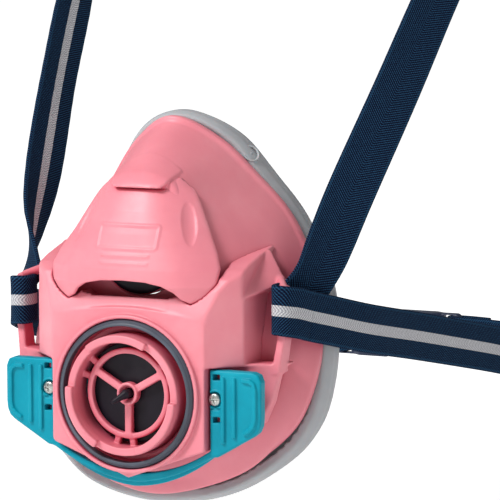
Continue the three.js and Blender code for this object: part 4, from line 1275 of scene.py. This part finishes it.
def buckle_half_field(x, y, z, near):
    """Half of the nape buckle: a body with a slot and a thin bar for the webbing."""
    across, up = y - BUCKLE_Y, z - NAPE_Z
    thick = 3.8 - 2.1 * np.clip((x - 15.0) / 3.0, 0.0, 1.0)
    plan = box_field(x, 0.0 * y, up, (near, -1, -BUCKLE_HALF), (26.0, 1, BUCKLE_HALF), 2.2)
    body = common(0.8, plan, np.abs(across) - thick)
    slot = box_field(x, across, up, (19.0, -9.0, -8.3), (22.6, 9.0, 8.3), 0.6)
    grip = 0.4 * np.clip(np.cos(x * 2 * np.pi / 2.4), 0.0, 1.0) * ((x > 6.0) & (x < 14.0))
    body = body + grip * (np.abs(up) < 6.0)
    return common(0.4, body, -slot)


def socket_field(x, y, z):
    across, up = y - BUCKLE_Y, z - NAPE_Z
    pocket = box_field(x, across, up, (-3.0, -2.0, -6.5), (15.0, 2.0, 6.5), 0.5)
    window = box_field(x, across, up, (6.0, 0.0, -3.0), (11.0, 6.0, 3.0), 1.0)
    return common(0.4, buckle_half_field(x, y, z, -1.5), -pocket, -window)


def plug_field(x, y, z):
    across, up = y - BUCKLE_Y, z - NAPE_Z
    tongue = box_field(x, across, up, (-3.0, -1.6, -5.5), (13.0, 1.6, 5.5), 0.8)
    notch = np.hypot(x - 8.5, up) - 2.0
    tongue = common(0.4, tongue, -notch)
    return unite(0.6, buckle_half_field(-x, y, z, 1.9), tongue)


def add_buckle():
    moulded("nape_buckle_socket", socket_field, (-3, 224, -22), (27.5, 234, -1), 0.45,
            "navy_plastic", "buckle_socket")
    moulded("nape_buckle_plug", plug_field, (-27.5, 224, -22), (14.5, 234, -1), 0.45,
            "navy_plastic", "buckle_plug")


def finish_springs():
    """The return springs keep their CAD shape, because they shorten with the lever."""
    for hand, _ in HANDS:
        node = bpy.data.objects[f"return_spring_{hand}"]
        node.data.materials.clear()
        node.data.materials.append(SLOTS["spring_steel"])


# ---- stage

FLOOR_HALF, FLOOR_DROP = 12.0, 0.10      # half width and depth below the CAD box, m
WHITE_LIT = (1.0, 1.0, 1.0, 1.0)


def add_stage():
    floor_z = CAD_BOX[0][2] - FLOOR_DROP
    points = [(u * FLOOR_HALF, v * FLOOR_HALF, floor_z)
              for u, v in ((-1, -1), (1, -1), (1, 1), (-1, 1))]
    mesh = bpy.data.meshes.new("floor")
    mesh.from_pydata(points, [], [(0, 1, 2, 3)])
    floor = bpy.data.objects.new("floor", mesh)
    bpy.context.scene.collection.objects.link(floor)
    look = Look("floor", Roughness=0.9)
    look.shader.inputs["Base Color"].default_value = (0.9, 0.9, 0.9, 1.0)
    look.shader.inputs["Emission Color"].default_value = WHITE_LIT
    reach = look.node("ShaderNodeVectorMath", operation="LENGTH")
    look.link(look.object_place(), reach.inputs[0])
    glow = look.math("MULTIPLY_ADD", look.math("MINIMUM", reach.outputs["Value"], 1.0), 0.78, 0.06)
    look.link(glow, look.shader.inputs["Emission Strength"])
    mesh.materials.append(look.material)


def add_light(name, place, target, size, energy):
    data = bpy.data.lights.new(name, "AREA")
    data.shape, data.size, data.energy = "DISK", size, energy
    light = bpy.data.objects.new(name, data)
    bpy.context.scene.collection.objects.link(light)
    light.location = place
    light.rotation_euler = (Vector(target) - Vector(place)).to_track_quat("-Z", "Y").to_euler()


def add_lights():
    world = bpy.data.worlds.new("studio")
    bpy.context.scene.world = world
    world.use_nodes = True
    shade = world.node_tree.nodes["Background"]
    shade.inputs["Color"].default_value = WHITE_LIT
    shade.inputs["Strength"].default_value = 0.27
    add_light("key", (-0.55, -0.95, 1.15), (0.0, -0.02, 0.03), 0.5, 21.0)
    add_light("fill", (1.3, -0.5, 0.25), (0.0, 0.0, 0.03), 0.7, 0.8)
    scene = bpy.context.scene
    scene.view_settings.view_transform = "Standard"
    scene.view_settings.look = "None"


for add in (add_stage, add_lights, add_shell, add_facepiece, add_housing, add_collar, add_gasket,
            add_inhalation_valve, add_exhalation_valve, add_hood, add_lever, add_shutter,
            add_screws, finish_springs, add_webbing, add_sliders, add_cradle, add_buckle):
    add()
